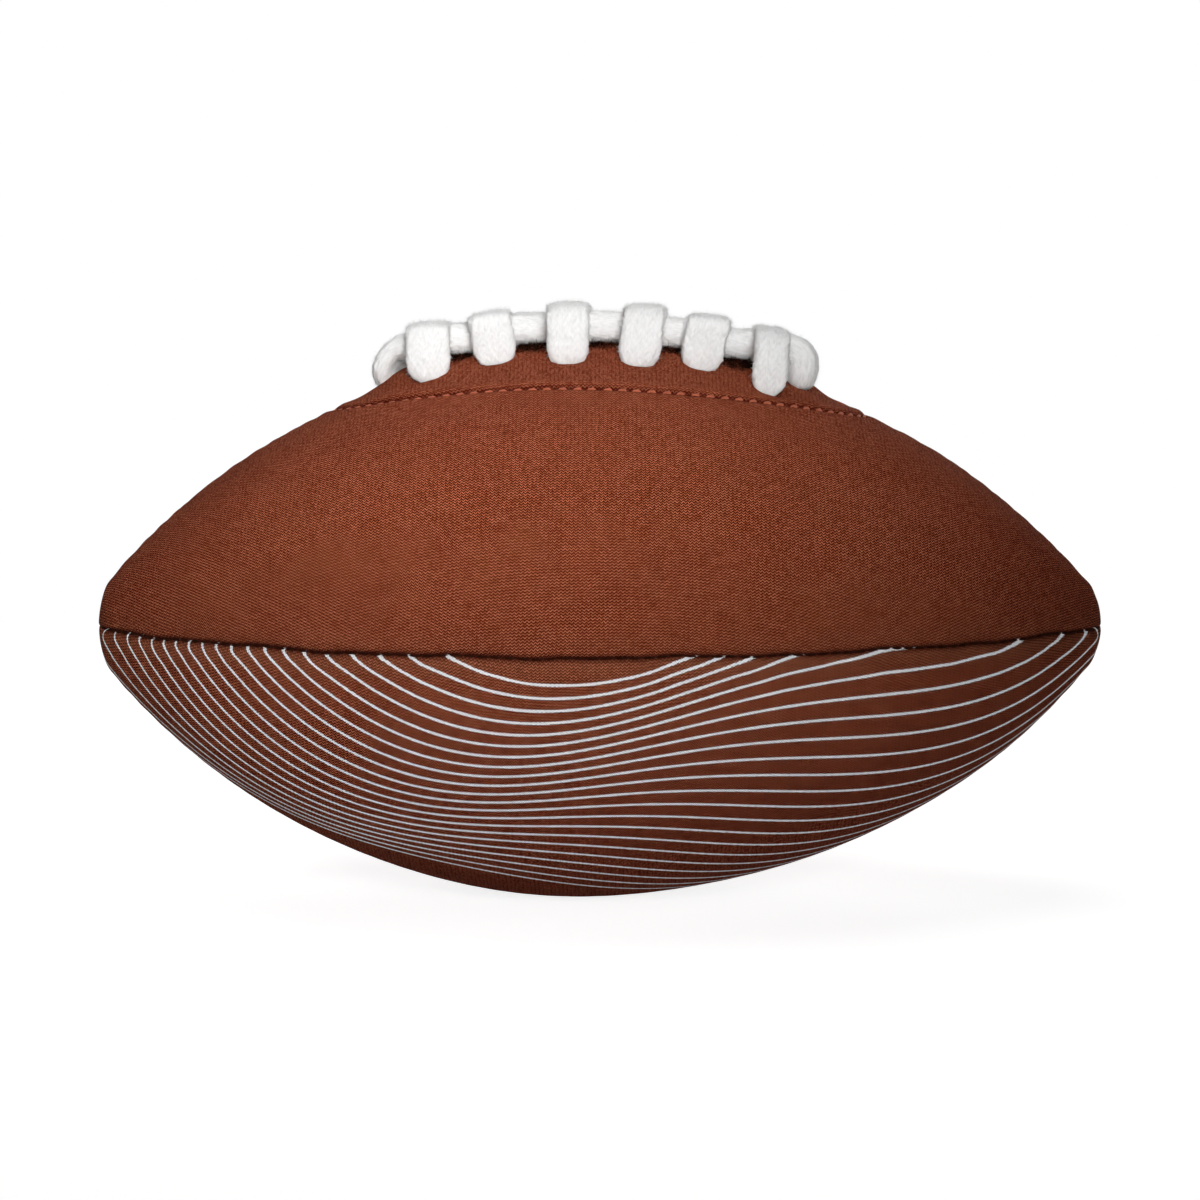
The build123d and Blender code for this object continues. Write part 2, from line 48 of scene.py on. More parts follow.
ball = {
    "halfLength": 115.0,
    "bellyRadius": 62.0,
    "noseRadius": 10.0,
    "noseRise": 2.4,
    "shoulder": 8.0,
    # the left half is a little fuller than the right
    "fullerLeft": 0.014, "fullerFade": 30.0,
    "fullerLeftTip": 0.04, "fullerTipPower": 9,
    "slackUnderRightTip": 0.09, "slackPower": 14,
}

# arcs of the outline: flank, shoulder and blunt nose, each by the turn of its normal
flankRun = ball["halfLength"] - ball["noseRise"]
flankFall = ball["bellyRadius"] - ball["noseRadius"]
flankArc = (flankRun**2 + flankFall**2) / (2 * flankFall)
flankDrop = flankArc - ball["bellyRadius"]
noseArc = (ball["noseRadius"]**2 + ball["noseRise"]**2) / (2 * ball["noseRise"])
noseCentre = ball["halfLength"] - noseArc
centresApart = math.hypot(noseCentre, flankDrop)
flankReach = flankArc - ball["shoulder"]
noseReach = noseArc - ball["shoulder"]
alongCentres = (flankReach**2 - noseReach**2 + centresApart**2) / (2 * centresApart)
acrossCentres = math.sqrt(flankReach**2 - alongCentres**2)
shoulderX = (noseCentre * alongCentres + flankDrop * acrossCentres) / centresApart
shoulderR = (flankDrop * alongCentres - noseCentre * acrossCentres) / centresApart - flankDrop
flankTurn = math.atan2(shoulderX, shoulderR + flankDrop)
noseTurn = math.atan2(shoulderX - noseCentre, shoulderR)
flankEnd = flankArc * flankTurn
shoulderEnd = flankEnd + ball["shoulder"] * (noseTurn - flankTurn)
halfOutline = shoulderEnd + noseArc * (math.pi / 2 - noseTurn)


# the outline at a distance u along it from the middle: x, radius and the normal's two parts
def outline(u):
    w = np.abs(u)
    flank = w < flankEnd
    beforeNose = w < shoulderEnd
    turn = np.where(flank, w / flankArc, flankTurn + (w - flankEnd) / ball["shoulder"])
    turn = np.where(beforeNose, turn, noseTurn + (w - shoulderEnd) / noseArc)
    side, rise = np.sin(turn), np.cos(turn)
    x = np.where(flank, flankArc * side, shoulderX + ball["shoulder"] * side)
    x = np.where(beforeNose, x, noseCentre + noseArc * side)
    r = np.where(flank, flankArc * rise - flankDrop, shoulderR + ball["shoulder"] * rise)
    r = np.where(beforeNose, r, noseArc * rise)
    return np.sign(u) * x, r, np.sign(u) * side, rise


# distance along the outline to a place x on the flank
def seamDistance(x):
    return flankArc * np.arcsin(x / flankArc)


# a point of the cover at outline distance u and a bearing, lifted off it
def coverPoint(u, bearing, lift):
    x, r, nx, nr = outline(u)
    along = x / ball["halfLength"]
    bias = ball["fullerLeft"] * np.tanh(x / ball["fullerFade"])
    bias = bias + ball["fullerLeftTip"] * along**ball["fullerTipPower"]
    under = (1 - np.cos(bearing)) / 2
    slack = ball["slackUnderRightTip"] * under * np.clip(along, 0, 1)**ball["slackPower"]
    radius = r * (1 - bias - slack) + lift * nr
    return np.stack([x + lift * nx, -radius * np.sin(bearing), radius * np.cos(bearing)], axis=-1)


# the cover's lips stand up along the lacing slit, over the patches and the pull of the lace
welt = {"rise": 3.0, "halfWidth": 11.0, "reach": 48.5, "fade": 3.6}


# 1 falling to 0 round a value of nought
def falling(value):
    return 1 / (1 + np.exp(np.clip(value, -30, 30)))


# 1 at nought, dying away each side
def bell(value, width):
    return np.exp(-(value / width)**2)


def weltRise(u, y):
    ends = falling((np.abs(outline(u)[0]) - welt["reach"]) / (welt["fade"] / 2))
    return welt["rise"] * ends * bell(y, welt["halfWidth"])


def unit(vectors):
    return vectors / np.maximum(np.linalg.norm(vectors, axis=-1, keepdims=True), 1e-12)


# distance along a line of points from its start
def runAlong(points):
    return np.concatenate([[0], np.cumsum(np.linalg.norm(np.diff(points, axis=0), axis=1))])


# smooth uneven field made of a few waves, the same at every run
def unevenness(a, b, length, seed):
    rng = np.random.default_rng(seed)
    waves = 9
    total = np.zeros(np.broadcast(a, b).shape)
    for wave in range(waves):
        heading = rng.uniform(0, fullTurn)
        stretch = length * rng.uniform(0.7, 1.6)
        phase = rng.uniform(0, fullTurn)
        run = a * math.cos(heading) + b * math.sin(heading)
        total = total + np.sin(fullTurn * run / stretch + phase)
    return total / (waves / 2)


# mesh from points in millimetres, with its flat pattern as a UV map and any other fields per point
def makePiece(name, points, faces, pattern=None, fields=None):
    mesh = bpy.data.meshes.new(name)
    place = np.asarray(points, float) + np.array([0, 0, ball["bellyRadius"]])
    mesh.from_pydata((place * toMetres).tolist(), [], faces)
    if pattern is not None:
        loops = np.empty(len(mesh.loops), dtype=np.int32)
        mesh.loops.foreach_get("vertex_index", loops)
        layer = mesh.uv_layers.new(name="pattern")
        layer.data.foreach_set("uv", np.asarray(pattern, np.float32)[loops].ravel())
    for field, values in (fields or {}).items():
        attribute = mesh.attributes.new(field, "FLOAT", "POINT")
        attribute.data.foreach_set("value", np.asarray(values, np.float32).ravel())
    mesh.polygons.foreach_set("use_smooth", np.ones(len(mesh.polygons), dtype=bool))
    mesh.validate()
    piece = bpy.data.objects.new(name, mesh)
    bpy.context.scene.collection.objects.link(piece)
    return piece


def settle(piece, material, cadNode):
    piece.data.materials.clear()
    piece.data.materials.append(material)
    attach(piece, "root")
    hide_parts(cadNode)


# quads of a tube of rings and the two fans that close it, round the two points after the last ring
def tubeFaces(count, around):
    index = np.arange(count * around).reshape(count, around)
    ring = np.roll(index, -1, axis=1)
    quads = np.stack([index[:-1], ring[:-1], ring[1:], index[1:]], axis=-1).reshape(-1, 4).tolist()
    first, last = index.size, index.size + 1
    startFan = [(first, k, j) for j, k in zip(index[0].tolist(), ring[0].tolist())]
    endFan = [(last, j, k) for j, k in zip(index[-1].tolist(), ring[-1].tolist())]
    return quads + startFan + endFan


# faces of many copies of a small shape
def copiedFaces(faces, size, count):
    return [tuple(v + size * k for v in face) for k in range(count) for face in faces]


# middle value of each cell of a grid
def cellMean(values):
    return (values[:-1, :-1] + values[1:, :-1] + values[:-1, 1:] + values[1:, 1:]) / 4


# a sheet on a grid of points: the cells to keep, its wall inwards from the face, and what cloth it is
def sheetPiece(name, cadNode, points, keep, hand, cloth, pattern=None, fields=None):
    index = np.arange(points[..., 0].size).reshape(points.shape[:2])
    corners = [index[:-1, :-1], index[:-1, 1:], index[1:, 1:], index[1:, :-1]]
    if hand < 0:
        corners.reverse()
    quads = np.stack(corners, axis=-1)[keep]
    used, back = np.unique(quads, return_inverse=True)
    if pattern is not None:
        pattern = pattern.reshape(-1, 2)[used]
    fields = {field: values.ravel()[used] for field, values in (fields or {}).items()}
    piece = makePiece(name, points.reshape(-1, 3)[used], back.reshape(quads.shape).tolist(), pattern, fields)
    bpy.ops.object.select_all(action="DESELECT")
    piece.select_set(True)
    bpy.context.view_layer.objects.active = piece
    solid = piece.modifiers.new("wall", "SOLIDIFY")
    solid.thickness = cloth["wall"] * toMetres
    solid.offset = -1
    bpy.ops.object.modifier_apply(modifier="wall")
    settle(piece, cloth["material"], cadNode)


def newMaterial(name):
    material = bpy.data.materials.new(name)
    material.use_nodes = True
    tree = material.node_tree
    return material, tree, tree.nodes["Principled BSDF"]


# sockets by name, or by number as i0, i1 and so on: an output is linked and a value is set
def setInputs(tree, made, **inputs):
    for key, value in inputs.items():
        numbered = key[0] == "i" and key[1:].isdigit()
        socket = made.inputs[int(key[1:]) if numbered else key.replace("_", " ")]
        if isinstance(value, bpy.types.NodeSocket):
            tree.links.new(value, socket)
        else:
            socket.default_value = value


def node(tree, kind, settings=None, **inputs):
    made = tree.nodes.new(kind)
    for key, value in (settings or {}).items():
        setattr(made, key, value)
    setInputs(tree, made, **inputs)
    return made


def sums(tree, operation, *values):
    inputs = {"i" + str(k): value for k, value in enumerate(values)}
    return node(tree, "ShaderNodeMath", {"operation": operation}, **inputs).outputs[0]


# values by their weights, added to a shift
def weighted(tree, shift, *pairs):
    total = shift
    for value, weight in pairs:
        total = sums(tree, "MULTIPLY_ADD", value, weight, total)
    return total


# distance of a running number from the middle of its step
def fromMiddle(tree, value):
    return sums(tree, "ABSOLUTE", sums(tree, "SUBTRACT", sums(tree, "FRACT", value), 0.5))


def step(tree, value, low, high):
    made = node(tree, "ShaderNodeMapRange", {"interpolation_type": "SMOOTHSTEP"},
                Value=value, From_Min=low, From_Max=high)
    return made.outputs["Result"]


def blendColour(tree, share, first, second):
    return node(tree, "ShaderNodeMix", {"data_type": "RGBA"}, i0=share, i6=first, i7=second).outputs[2]


def vectorSums(tree, operation, **inputs):
    return node(tree, "ShaderNodeVectorMath", {"operation": operation}, **inputs).outputs


def noise(tree, vector, scale, detail=2.0, rough=0.5, output="Fac"):
    made = node(tree, "ShaderNodeTexNoise", Vector=vector, Scale=scale, Detail=detail, Roughness=rough)
    return made.outputs[output]


def pointField(tree, name):
    return node(tree, "ShaderNodeAttribute", {"attribute_name": name}).outputs["Fac"]


def flatPattern(tree):
    return node(tree, "ShaderNodeUVMap", {"uv_map": "pattern"}).outputs["UV"]


def objectPlace(tree):
    return node(tree, "ShaderNodeTexCoord").outputs["Object"]


def addBump(tree, shader, strength, distance, height):
    bump = node(tree, "ShaderNodeBump", Strength=strength, Distance=distance, Height=height)
    setInputs(tree, shader, Normal=bump.outputs["Normal"])


knit = {
    "walePitch": 0.90,        # millimetres between columns of loops
    "coursePitch": 0.65,      # and between rows
    "wander": 0.16,           # how far the columns stray
    "lean": 1.6,              # of a loop to one side of its column
    "ridge": 0.12,            # how much darker a column's edges are: painted shade between the columns
    # shares of specks, loops, yarn and broad unevenness in the grain; the loops' share is painted light and
    # shade, their tops lighter and their gaps darker
    "speck": 1.1, "loop": 1.9, "yarn": 0.3, "broad": 0.1, "grainShift": -1.77,
    # base is the yarn's colour; deep is dark yarn and also painted shade in the loop gaps, seams and stitch
    # row; the pale colour is pale yarn and painted highlight on the loop tops
    "base": (0.285, 0.044, 0.013, 1),
    "deep": (0.045, 0.002, 0.0005, 1),
    "paleYarnAndHighlight": (0.82, 0.26, 0.135, 1),
    "seamTint": (0.29, 0.112, 0.058, 1),
    # the turned-over edges are rubbed paler
    "seamReach": 7.0, "rubbedPlain": 0.1, "rubbedPrinted": 0.3,
    "line": (0.93, 0.94, 0.96, 1),
    "paintedLineGlow": 0.24,         # painted light: the ink lines glow, whiter than their lit colour
    "lineHalfWidth": 0.30, "lineSoftness": 0.07, "lineCount": 22,
    # the ink stops loop by loop, so the edge is a little ragged
    "raggedLoop": -0.16, "raggedSpeck": 0.3, "inkGrain": 0.16,
}


# height of the loops, each leaning to one side of its column and the next one back, in small V shapes,
# and the share of light and dark yarn in every leg of a loop
def knitLoops(tree):
    pattern = flatPattern(tree)
    stray = noise(tree, pattern, 0.9, 3.0, 0.6, "Color")
    stray = vectorSums(tree, "SCALE", i0=stray, Scale=2 * knit["wander"])[0]
    parts = node(tree, "ShaderNodeSeparateXYZ", Vector=vectorSums(tree, "ADD", i0=pattern, i1=stray)[0])
    columns = sums(tree, "DIVIDE", parts.outputs["X"], knit["walePitch"])
    inColumn = fromMiddle(tree, columns)
    rows = sums(tree, "DIVIDE", parts.outputs["Y"], knit["coursePitch"])
    rows = sums(tree, "ADD", rows, sums(tree, "MULTIPLY", inColumn, knit["lean"]))
    ridge = sums(tree, "MULTIPLY_ADD", step(tree, inColumn, 0.5, 0.3), knit["ridge"], 1 - knit["ridge"])
    loop = sums(tree, "MULTIPLY", ridge, step(tree, fromMiddle(tree, rows), 0.42, 0.1))
    legs = sums(tree, "FLOOR", sums(tree, "MULTIPLY", columns, 2.0))
    cell = node(tree, "ShaderNodeCombineXYZ", X=legs, Y=sums(tree, "FLOOR", rows)).outputs[0]
    yarn = node(tree, "ShaderNodeTexWhiteNoise", {"noise_dimensions": "2D"}, Vector=cell).outputs["Value"]
    return loop, yarn


# where the pale lines have ink
def printedInk(tree, loop, speck):
    lineRow = pointField(tree, "lineRow")
    nearest = sums(tree, "MAXIMUM", sums(tree, "ROUND", lineRow), 1.0)
    nearest = sums(tree, "MINIMUM", nearest, float(knit["lineCount"]))
    away = sums(tree, "ABSOLUTE", sums(tree, "SUBTRACT", lineRow, nearest))
    away = sums(tree, "MULTIPLY", away, pointField(tree, "linePitch"))
    shift = -(knit["raggedLoop"] + knit["raggedSpeck"]) / 2
    ragged = weighted(tree, shift, (loop, knit["raggedLoop"]), (speck, knit["raggedSpeck"]))
    half, soft = knit["lineHalfWidth"], knit["lineSoftness"]
    return step(tree, sums(tree, "ADD", away, ragged), half + soft, half - soft)


# jersey knit face: columns of loops, specks of yarn and broad unevenness, with painted highlight on the loop
# tops and painted shade in their gaps; printed adds the pale lines
def knitMaterial(name, printed):
    material, tree, shader = newMaterial(name)
    loop, yarn = knitLoops(tree)
    place = objectPlace(tree)
    speck = noise(tree, place, 2300.0, 2.0, 0.6)
    grainAndLoopShade = weighted(tree, knit["grainShift"], (speck, knit["speck"]), (loop, knit["loop"]),
                     (yarn, knit["yarn"]), (noise(tree, place, 60.0), knit["broad"]))
    # random yarn tone, with the loop tops painted lighter and the gaps painted darker as painted highlight
    # and shade
    colour = blendColour(tree, step(tree, grainAndLoopShade, -0.35, 0.45), knit["deep"], knit["base"])
    colour = blendColour(tree, step(tree, grainAndLoopShade, 0.35, 1.2), colour, knit["paleYarnAndHighlight"])
    rubbed = step(tree, pointField(tree, "seamGap"), knit["seamReach"], 0.5)
    rubbed = sums(tree, "MULTIPLY", rubbed, knit["rubbedPrinted" if printed else "rubbedPlain"])
    colour = blendColour(tree, rubbed, colour, knit["seamTint"])
    # painted shade deep in the seams and along the stitch row: the cloth is coloured darker there
    colour = blendColour(tree, pointField(tree, "paintedShade"), colour, knit["deep"])
    if printed:
        ink = printedInk(tree, loop, speck)
        # the ink is toned by the same grain, so it carries some of the painted loop highlight and shade
        inkTone = sums(tree, "MULTIPLY_ADD", grainAndLoopShade, knit["inkGrain"], 1 - knit["inkGrain"])
        inkTone = sums(tree, "MINIMUM", inkTone, 1.0)
        tinted = vectorSums(tree, "SCALE", i0=knit["line"][:3], Scale=inkTone)[0]
        colour = blendColour(tree, ink, colour, tinted)
        # painted light: the ink lines glow through emission, though they are no lamp
        glow = sums(tree, "MULTIPLY", ink, knit["paintedLineGlow"])
        setInputs(tree, shader, Emission_Color=knit["line"], Emission_Strength=glow)
    setInputs(tree, shader, Base_Color=colour, Roughness=0.95, Specular_IOR_Level=0.03)
    addBump(tree, shader, 0.9, 0.00025, weighted(tree, 0.0, (loop, 0.8), (speck, 0.6)))
    return material


# spun or braided yarn: fibres run along the pattern's first axis, and glow is light that goes into them
def yarnMaterial(name, base, deep, fibre=2.0, turn=0.0, roughness=0.95, sheen=0.0, glow=0.0, shine=0.2):
    material, tree, shader = newMaterial(name)
    turned = node(tree, "ShaderNodeMapping", Vector=flatPattern(tree), Rotation=(0, 0, turn),
                  Scale=(fibre * 0.12, fibre, 1))
    strands = noise(tree, turned.outputs["Vector"], 1.0, 4.0, 0.65)
    fluff = noise(tree, objectPlace(tree), 900.0, 4.0, 0.7)
    # painted shade: yarn that lies lower, between plies and under crossing yarns, is coloured darker
    tone = weighted(tree, -0.1, (strands, 0.6), (fluff, 0.55), (pointField(tree, "yarnHeight"), 0.2))
    colour = blendColour(tree, step(tree, tone, 0.25, 0.8), deep, base)
    setInputs(tree, shader, Base_Color=colour, Roughness=roughness, Specular_IOR_Level=shine,
              Sheen_Weight=sheen, Sheen_Roughness=0.45, Subsurface_Weight=glow,
              Subsurface_Radius=(1, 1, 1), Subsurface_Scale=0.0016)
    addBump(tree, shader, 0.6, 0.0002, tone)
    return material


# plain woven cloth for the hidden layers
def clothMaterial(name, base, deep, threads):
    material, tree, shader = newMaterial(name)
    place = objectPlace(tree)
    bands = []
    for way in ("X", "Y"):
        wave = node(tree, "ShaderNodeTexWave", {"bands_direction": way}, Vector=place, Scale=threads,
                    Distortion=0.6)
        bands.append(wave.outputs["Fac"])
    weave = sums(tree, "MULTIPLY", *bands)
    tone = weighted(tree, 0.0, (weave, 0.6), (noise(tree, place, 700.0, 3.0, 0.6), 0.4))
    colour = blendColour(tree, tone, deep, base)
    setInputs(tree, shader, Base_Color=colour, Roughness=0.9, Sheen_Weight=0.15)
    addBump(tree, shader, 0.5, 0.0003, tone)
    return material


# moulded rubber with a dusty bloom
def rubberMaterial(name, base, bloom):
    material, tree, shader = newMaterial(name)
    place = objectPlace(tree)
    dust = noise(tree, place, 240.0, 4.0, 0.6)
    colour = blendColour(tree, step(tree, dust, 0.42, 0.8), base, bloom)
    setInputs(tree, shader, Base_Color=colour, Roughness=sums(tree, "MULTIPLY_ADD", dust, 0.3, 0.45))
    addBump(tree, shader, 0.25, 0.0001, noise(tree, place, 2600.0))
    return material


plainKnit = knitMaterial("coverKnit", False)
printedKnit = knitMaterial("printedKnit", True)
cotton = yarnMaterial("laceCotton", (0.84, 0.84, 0.835, 1), (0.70, 0.695, 0.685, 1),
                      fibre=3.2, turn=0.3, sheen=0.3, glow=0.35)
fuzzCotton = yarnMaterial("laceFuzz", (0.86, 0.86, 0.855, 1), (0.80, 0.80, 0.795, 1), sheen=0.2)
# near-black fibre colour: partly stray fibres and partly painted shade in the dark band under the strands
slitFuzzAndShade = yarnMaterial("slitFuzzAndShade", (0.020, 0.007, 0.004, 1), (0.005, 0.002, 0.001, 1),
                        roughness=0.9, shine=0.02)
# the patch thread is the cover's red-brown, coloured much lighter than the cloth as a painted highlight on
# the raised stitches
patchThreadAndHighlight = yarnMaterial("patchThreadAndHighlight", (0.56, 0.135, 0.06, 1), (0.20, 0.042, 0.016, 1),
                           fibre=6.0, turn=0.7, roughness=0.6, sheen=0.1)
seamThread = yarnMaterial("seamThread", (0.050, 0.014, 0.007, 1), (0.014, 0.004, 0.002, 1),
                          fibre=6.0, turn=0.7, roughness=0.8, shine=0.02)
patchCloth = clothMaterial("patchCloth", (0.10, 0.045, 0.028, 1), (0.035, 0.014, 0.009, 1), 420.0)
tongueCloth = clothMaterial("tongueCloth", (0.09, 0.045, 0.028, 1), (0.04, 0.02, 0.012, 1), 260.0)
bladderRubber = rubberMaterial("bladderRubber", (0.022, 0.022, 0.024, 1), (0.06, 0.06, 0.062, 1))
valveRubber = rubberMaterial("valveRubber", (0.03, 0.026, 0.024, 1), (0.075, 0.065, 0.06, 1))
slugRubber = rubberMaterial("slugRubber", (0.075, 0.05, 0.038, 1), (0.13, 0.095, 0.075, 1))
print("materials made")


# where the lace runs, shared by the cover's holes and the lace itself
lacing = {
    "upright": 0.75,          # the lace stands up more than the slope of the cover
    "holeOffset": 13.0,
    # half a hole's width is a share of the lace's thickness and some ease
    "holeShare": 0.3, "holeEase": 0.6, "holeEndEase": 0.5, "holeCorner": 1.5,
    # the cover is drawn down round each hole
    "holePull": 0.7, "holePullReach": 1.3,
    "snap": 0.34,             # points of the cover this near a hole move onto its edge
    "thickness": 4.0,
    # pulled flat where it crosses over the strands
    "crownThickness": 2.3, "crownReach": 9.5,
    # shares of the width and thickness left where the lace goes into its hole
    "gather": 0.42, "gatherThick": 0.55,
    # the lace's foot rounds off between these heights above the cover
    "footTop": 3.4, "footEnd": -1.0,
    "tuck": 3.6,              # from a hole in towards the slit, under the cover
    "lastRun": 10.0,          # what is left of the lace after the last hole
    "underThickness": 3.0, "underShare": 0.9,
    "strandRadius": 3.45, "strandEase": -0.4, "strandOffset": 4.0, "strandLift": 6.5,
    "diveX": 40.2, "diveBend": 4.5, "knobOffset": 5.0,
}

# the cross-laces from left to right, each pulled a little differently: place, width, height of the
# crossing, distance of its holes from the slit, how far its feet lie to the right and its tilt in degrees
crossLaces = [
    {"x": -38.0, "width": 9.8, "crown": 10.0, "hole": 11.0, "lean": -0.5, "tilt": -2.0},
    {"x": -24.9, "width": 9.6, "crown": 9.6, "hole": 9.8, "lean": 1.4, "tilt": 8.0},
    {"x": -6.9, "width": 9.4, "crown": 10.1, "hole": 13.0, "lean": -0.2, "tilt": 0.0},
    {"x": 10.3, "width": 9.2, "crown": 10.3, "hole": 13.0, "lean": -1.5, "tilt": 0.0},
    {"x": 24.6, "width": 9.4, "crown": 10.0, "hole": 10.2, "lean": -2.0, "tilt": -2.0},
    {"x": 38.3, "width": 7.8, "crown": 10.3, "hole": 14.8, "lean": -0.4, "tilt": -4.0},
]


# frame on the top seam: origin, along the outline, out of the cover
def laceFrame(x):
    u = seamDistance(x)
    slope = unit(coverPoint(u + 0.5, 0.0, 0.0) - coverPoint(u - 0.5, 0.0, 0.0))
    outward = np.array([-slope[2], 0.0, slope[0]]) * (1 - lacing["upright"])
    outward = unit(outward + np.array([0.0, 0.0, lacing["upright"]]))
    along = np.array([outward[2], 0.0, -outward[0]])
    return coverPoint(u, 0.0, 0.0), along, outward


def lacePoint(x, slip, y, lift):
    origin, along, outward = laceFrame(x)
    return origin + along * slip + outward * lift + np.array([0.0, y, 0.0])


# the holes: place along the seam, distance from it, half sizes and corner
def holeList():
    halfAcross = lacing["thickness"] * lacing["holeShare"] + lacing["holeEase"]
    holes = []
    for lace in crossLaces:
        halfAlong = lace["width"] * lacing["gather"] / 2 + lacing["holeEndEase"]
        holeU = seamDistance(lace["x"] + lace["lean"])
        holes.append((holeU, lace["hole"], halfAlong, halfAcross, lacing["holeCorner"]))
    strandHole = lacing["strandRadius"] + lacing["strandEase"]
    diveAt = seamDistance(lacing["diveX"]) + lacing["diveBend"]
    holes.append((diveAt, lacing["knobOffset"], strandHole, strandHole, strandHole))
    return holes


# signed distance to each hole's outline, smallest over all of them, and the way out of it
def laceHoles(u, y):
    best = np.full(u.shape, 99.0)
    wayU = np.zeros(u.shape)
    wayY = np.zeros(u.shape)
    for holeU, holeY, halfAlong, halfAcross, corner in holeList():
        du = u - holeU
        dy = np.abs(y) - holeY
        qu = np.abs(du) - halfAlong + corner
        qy = np.abs(dy) - halfAcross + corner
        far = np.hypot(np.maximum(qu, 0), np.maximum(qy, 0))
        gap = far + np.minimum(np.maximum(qu, qy), 0) - corner
        outU = np.where(far > 1e-9, np.maximum(qu, 0), (qu >= qy) * 1.0) * np.sign(du)
        outY = np.where(far > 1e-9, np.maximum(qy, 0), (qy > qu) * 1.0) * np.sign(dy) * np.sign(y)
        size = np.maximum(np.hypot(outU, outY), 1e-9)
        nearer = gap < best
        best = np.where(nearer, gap, best)
        wayU = np.where(nearer, outU / size, wayU)
        wayY = np.where(nearer, outY / size, wayY)
    return best, wayU, wayY


# row of patch stitching, shared by the valley in the cover and the stitches
stitchRow = {
    "halfLength": 61.0, "halfWidth": 27.6, "seamGap": 3.0,
    "pitch": 3.3, "pitchSpread": 0.15, "tilt": 11.0, "tiltSpread": 4.0,
    "length": 2.1, "radius": 0.31,
    "dip": 0.42,              # how far a stitch's ends go down
    "form": (9, 10, 2.6),     # points along and round a stitch, and its twist
    "proud": 0.12,            # top of a stitch above the cover
    # the row lies in a valley, pinched once a stitch, and the cloth swells each side of it; shade is painted
    # shade coloured into the cloth along the row
    "valley": 0.85, "valleyWidth": 0.62, "pinch": 0.18, "shade": 0.95, "shadeWidth": 0.72,
    "shoulder": 0.22, "shoulderOff": 2.0, "shoulderWidth": 1.1,
    # over the patch the cover stands slightly prouder
    "patchRise": 0.3, "patchFade": 0.8,
    # what is left of all this at the row's left end, which runs out flat
    "flatEnd": 0.3, "flatReach": 16.0,
}


# the row in plan and its run, from the right end round to the left end
def rowPlan():
    turn = np.linspace(0, math.pi, 1200)
    u = seamDistance(stitchRow["halfLength"] * np.cos(turn))
    y = stitchRow["halfWidth"] * np.sin(turn)
    bearing = np.arcsin(np.clip(y / outline(u)[1], 0, 1))
    return turn, u, bearing, runAlong(coverPoint(u, bearing, np.zeros_like(u)))


rowTurn, rowU, rowBearing, rowRun = rowPlan()


panels = {
    # the edge turns into the seam over a width, or a share of the half panel where that is less; rollShade is
    # painted shade coloured into the turned edge
    "rollWidth": 2.5, "rollShare": 0.42, "rollDepth": 2.3, "rollSteps": 6, "rollShade": 0.85,
    "tipGap": 0.9,            # opening left where the four points meet
    "tipFine": 0.04,          # the grid is finer towards the tips
    "tipFade": 12.0, "edgeFade": 1.2,
    "pucker": 0.13, "puckerReach": 5.0, "puckerRun": 1.05, "puckerStray": 2.5,
    # sideways wander of a seam, in waves of a share, a length and a turn of phase
    "waver": 0.33, "waverReach": 6.0, "waverFade": 25.0,
    "waves": ((0.6, 7.9, 1.0), (0.4, 3.7, 2.3), (0.25, 1.9, 1.0)),
    "broadUneven": 0.22,
}
valve = {"hole": 4.75, "snap": 0.42, "pull": 0.35, "pullReach": 1.1}

# grids with and without lacing: the share denseTo of the columns lies on the share dense of the width
lacedGrid = {"step": 0.76, "columns": 112, "dense": 0.34, "denseTo": 0.6}
plainGrid = {"step": 0.95, "columns": 104, "dense": 0.5, "denseTo": 0.5}
plainCloth = {"material": plainKnit, "slot": "cover_knit", "wall": 2.5, "flat": (0.097, 0.272),
              "area": 0.0176}
printedCloth = {**plainCloth, "material": printedKnit, "slot": "printed_knit"}


# sideways wander of the seam at a bearing
def seamWaver(u, bearing):
    phase = bearing * 1.7
    fade = np.clip((halfOutline - np.abs(u)) / panels["waverFade"], 0, 1)
    wave = sum(share * np.sin(u / length + turns * phase) for share, length, turns in panels["waves"])
    return panels["waver"] * fade * wave


# rows of pale lines over the lower front panel, in its flat pattern: across from the panel's middle
flow = {
    # where the first line lies, and how the rest follow across the panel
    "first": -49.3, "spread": 68.4, "widening": 6.4,
    # slope of the first line and what the others gain
    "lean": 0.035, "leanGain": 0.149, "leanBend": 0.043,
    # the slow wave that runs through all lines
    "swell": 7.0, "waveLength": 150.6, "trough": 61.1, "troughShift": -79.0,
    # how the lines bend up into the left tip
    "leftLift": 63.4, "leftLiftGain": -66.5, "leftReach": 14.0,
}


def flowAcross(x, share):
    middle = flow["first"] + flow["spread"] * share + flow["widening"] * share**2
    lean = flow["lean"] + flow["leanGain"] * share + flow["leanBend"] * share**2
    trough = flow["trough"] + flow["troughShift"] * share
    wave = flow["swell"] * np.cos(fullTurn * (x - trough) / flow["waveLength"])
    lift = flow["leftLift"] + flow["leftLiftGain"] * share
    return middle + lean * x - wave - lift * np.exp(-(x + ball["halfLength"]) / flow["leftReach"])


# which line each point lies on or between, and the distance between lines there
def flowFields(x, along, across):
    shares = np.linspace(-0.25, 1.6, 371)
    row = np.empty_like(across)
    for k in range(len(x)):
        heights = np.maximum.accumulate(flowAcross(x[k], shares)) + 1e-6 * np.arange(len(shares))
        row[k] = 1 + (knit["lineCount"] - 1) * np.interp(across[k], heights, shares)
    acrossRate = np.gradient(row, axis=1) / np.gradient(across, axis=1)
    # the change along the ball at a fixed place across the pattern
    moved = np.gradient(row, axis=0) - acrossRate * np.gradient(across, axis=0)
    alongRate = moved / np.gradient(along, axis=0)
    return row, 1 / np.maximum(np.hypot(acrossRate, alongRate), 1e-3)


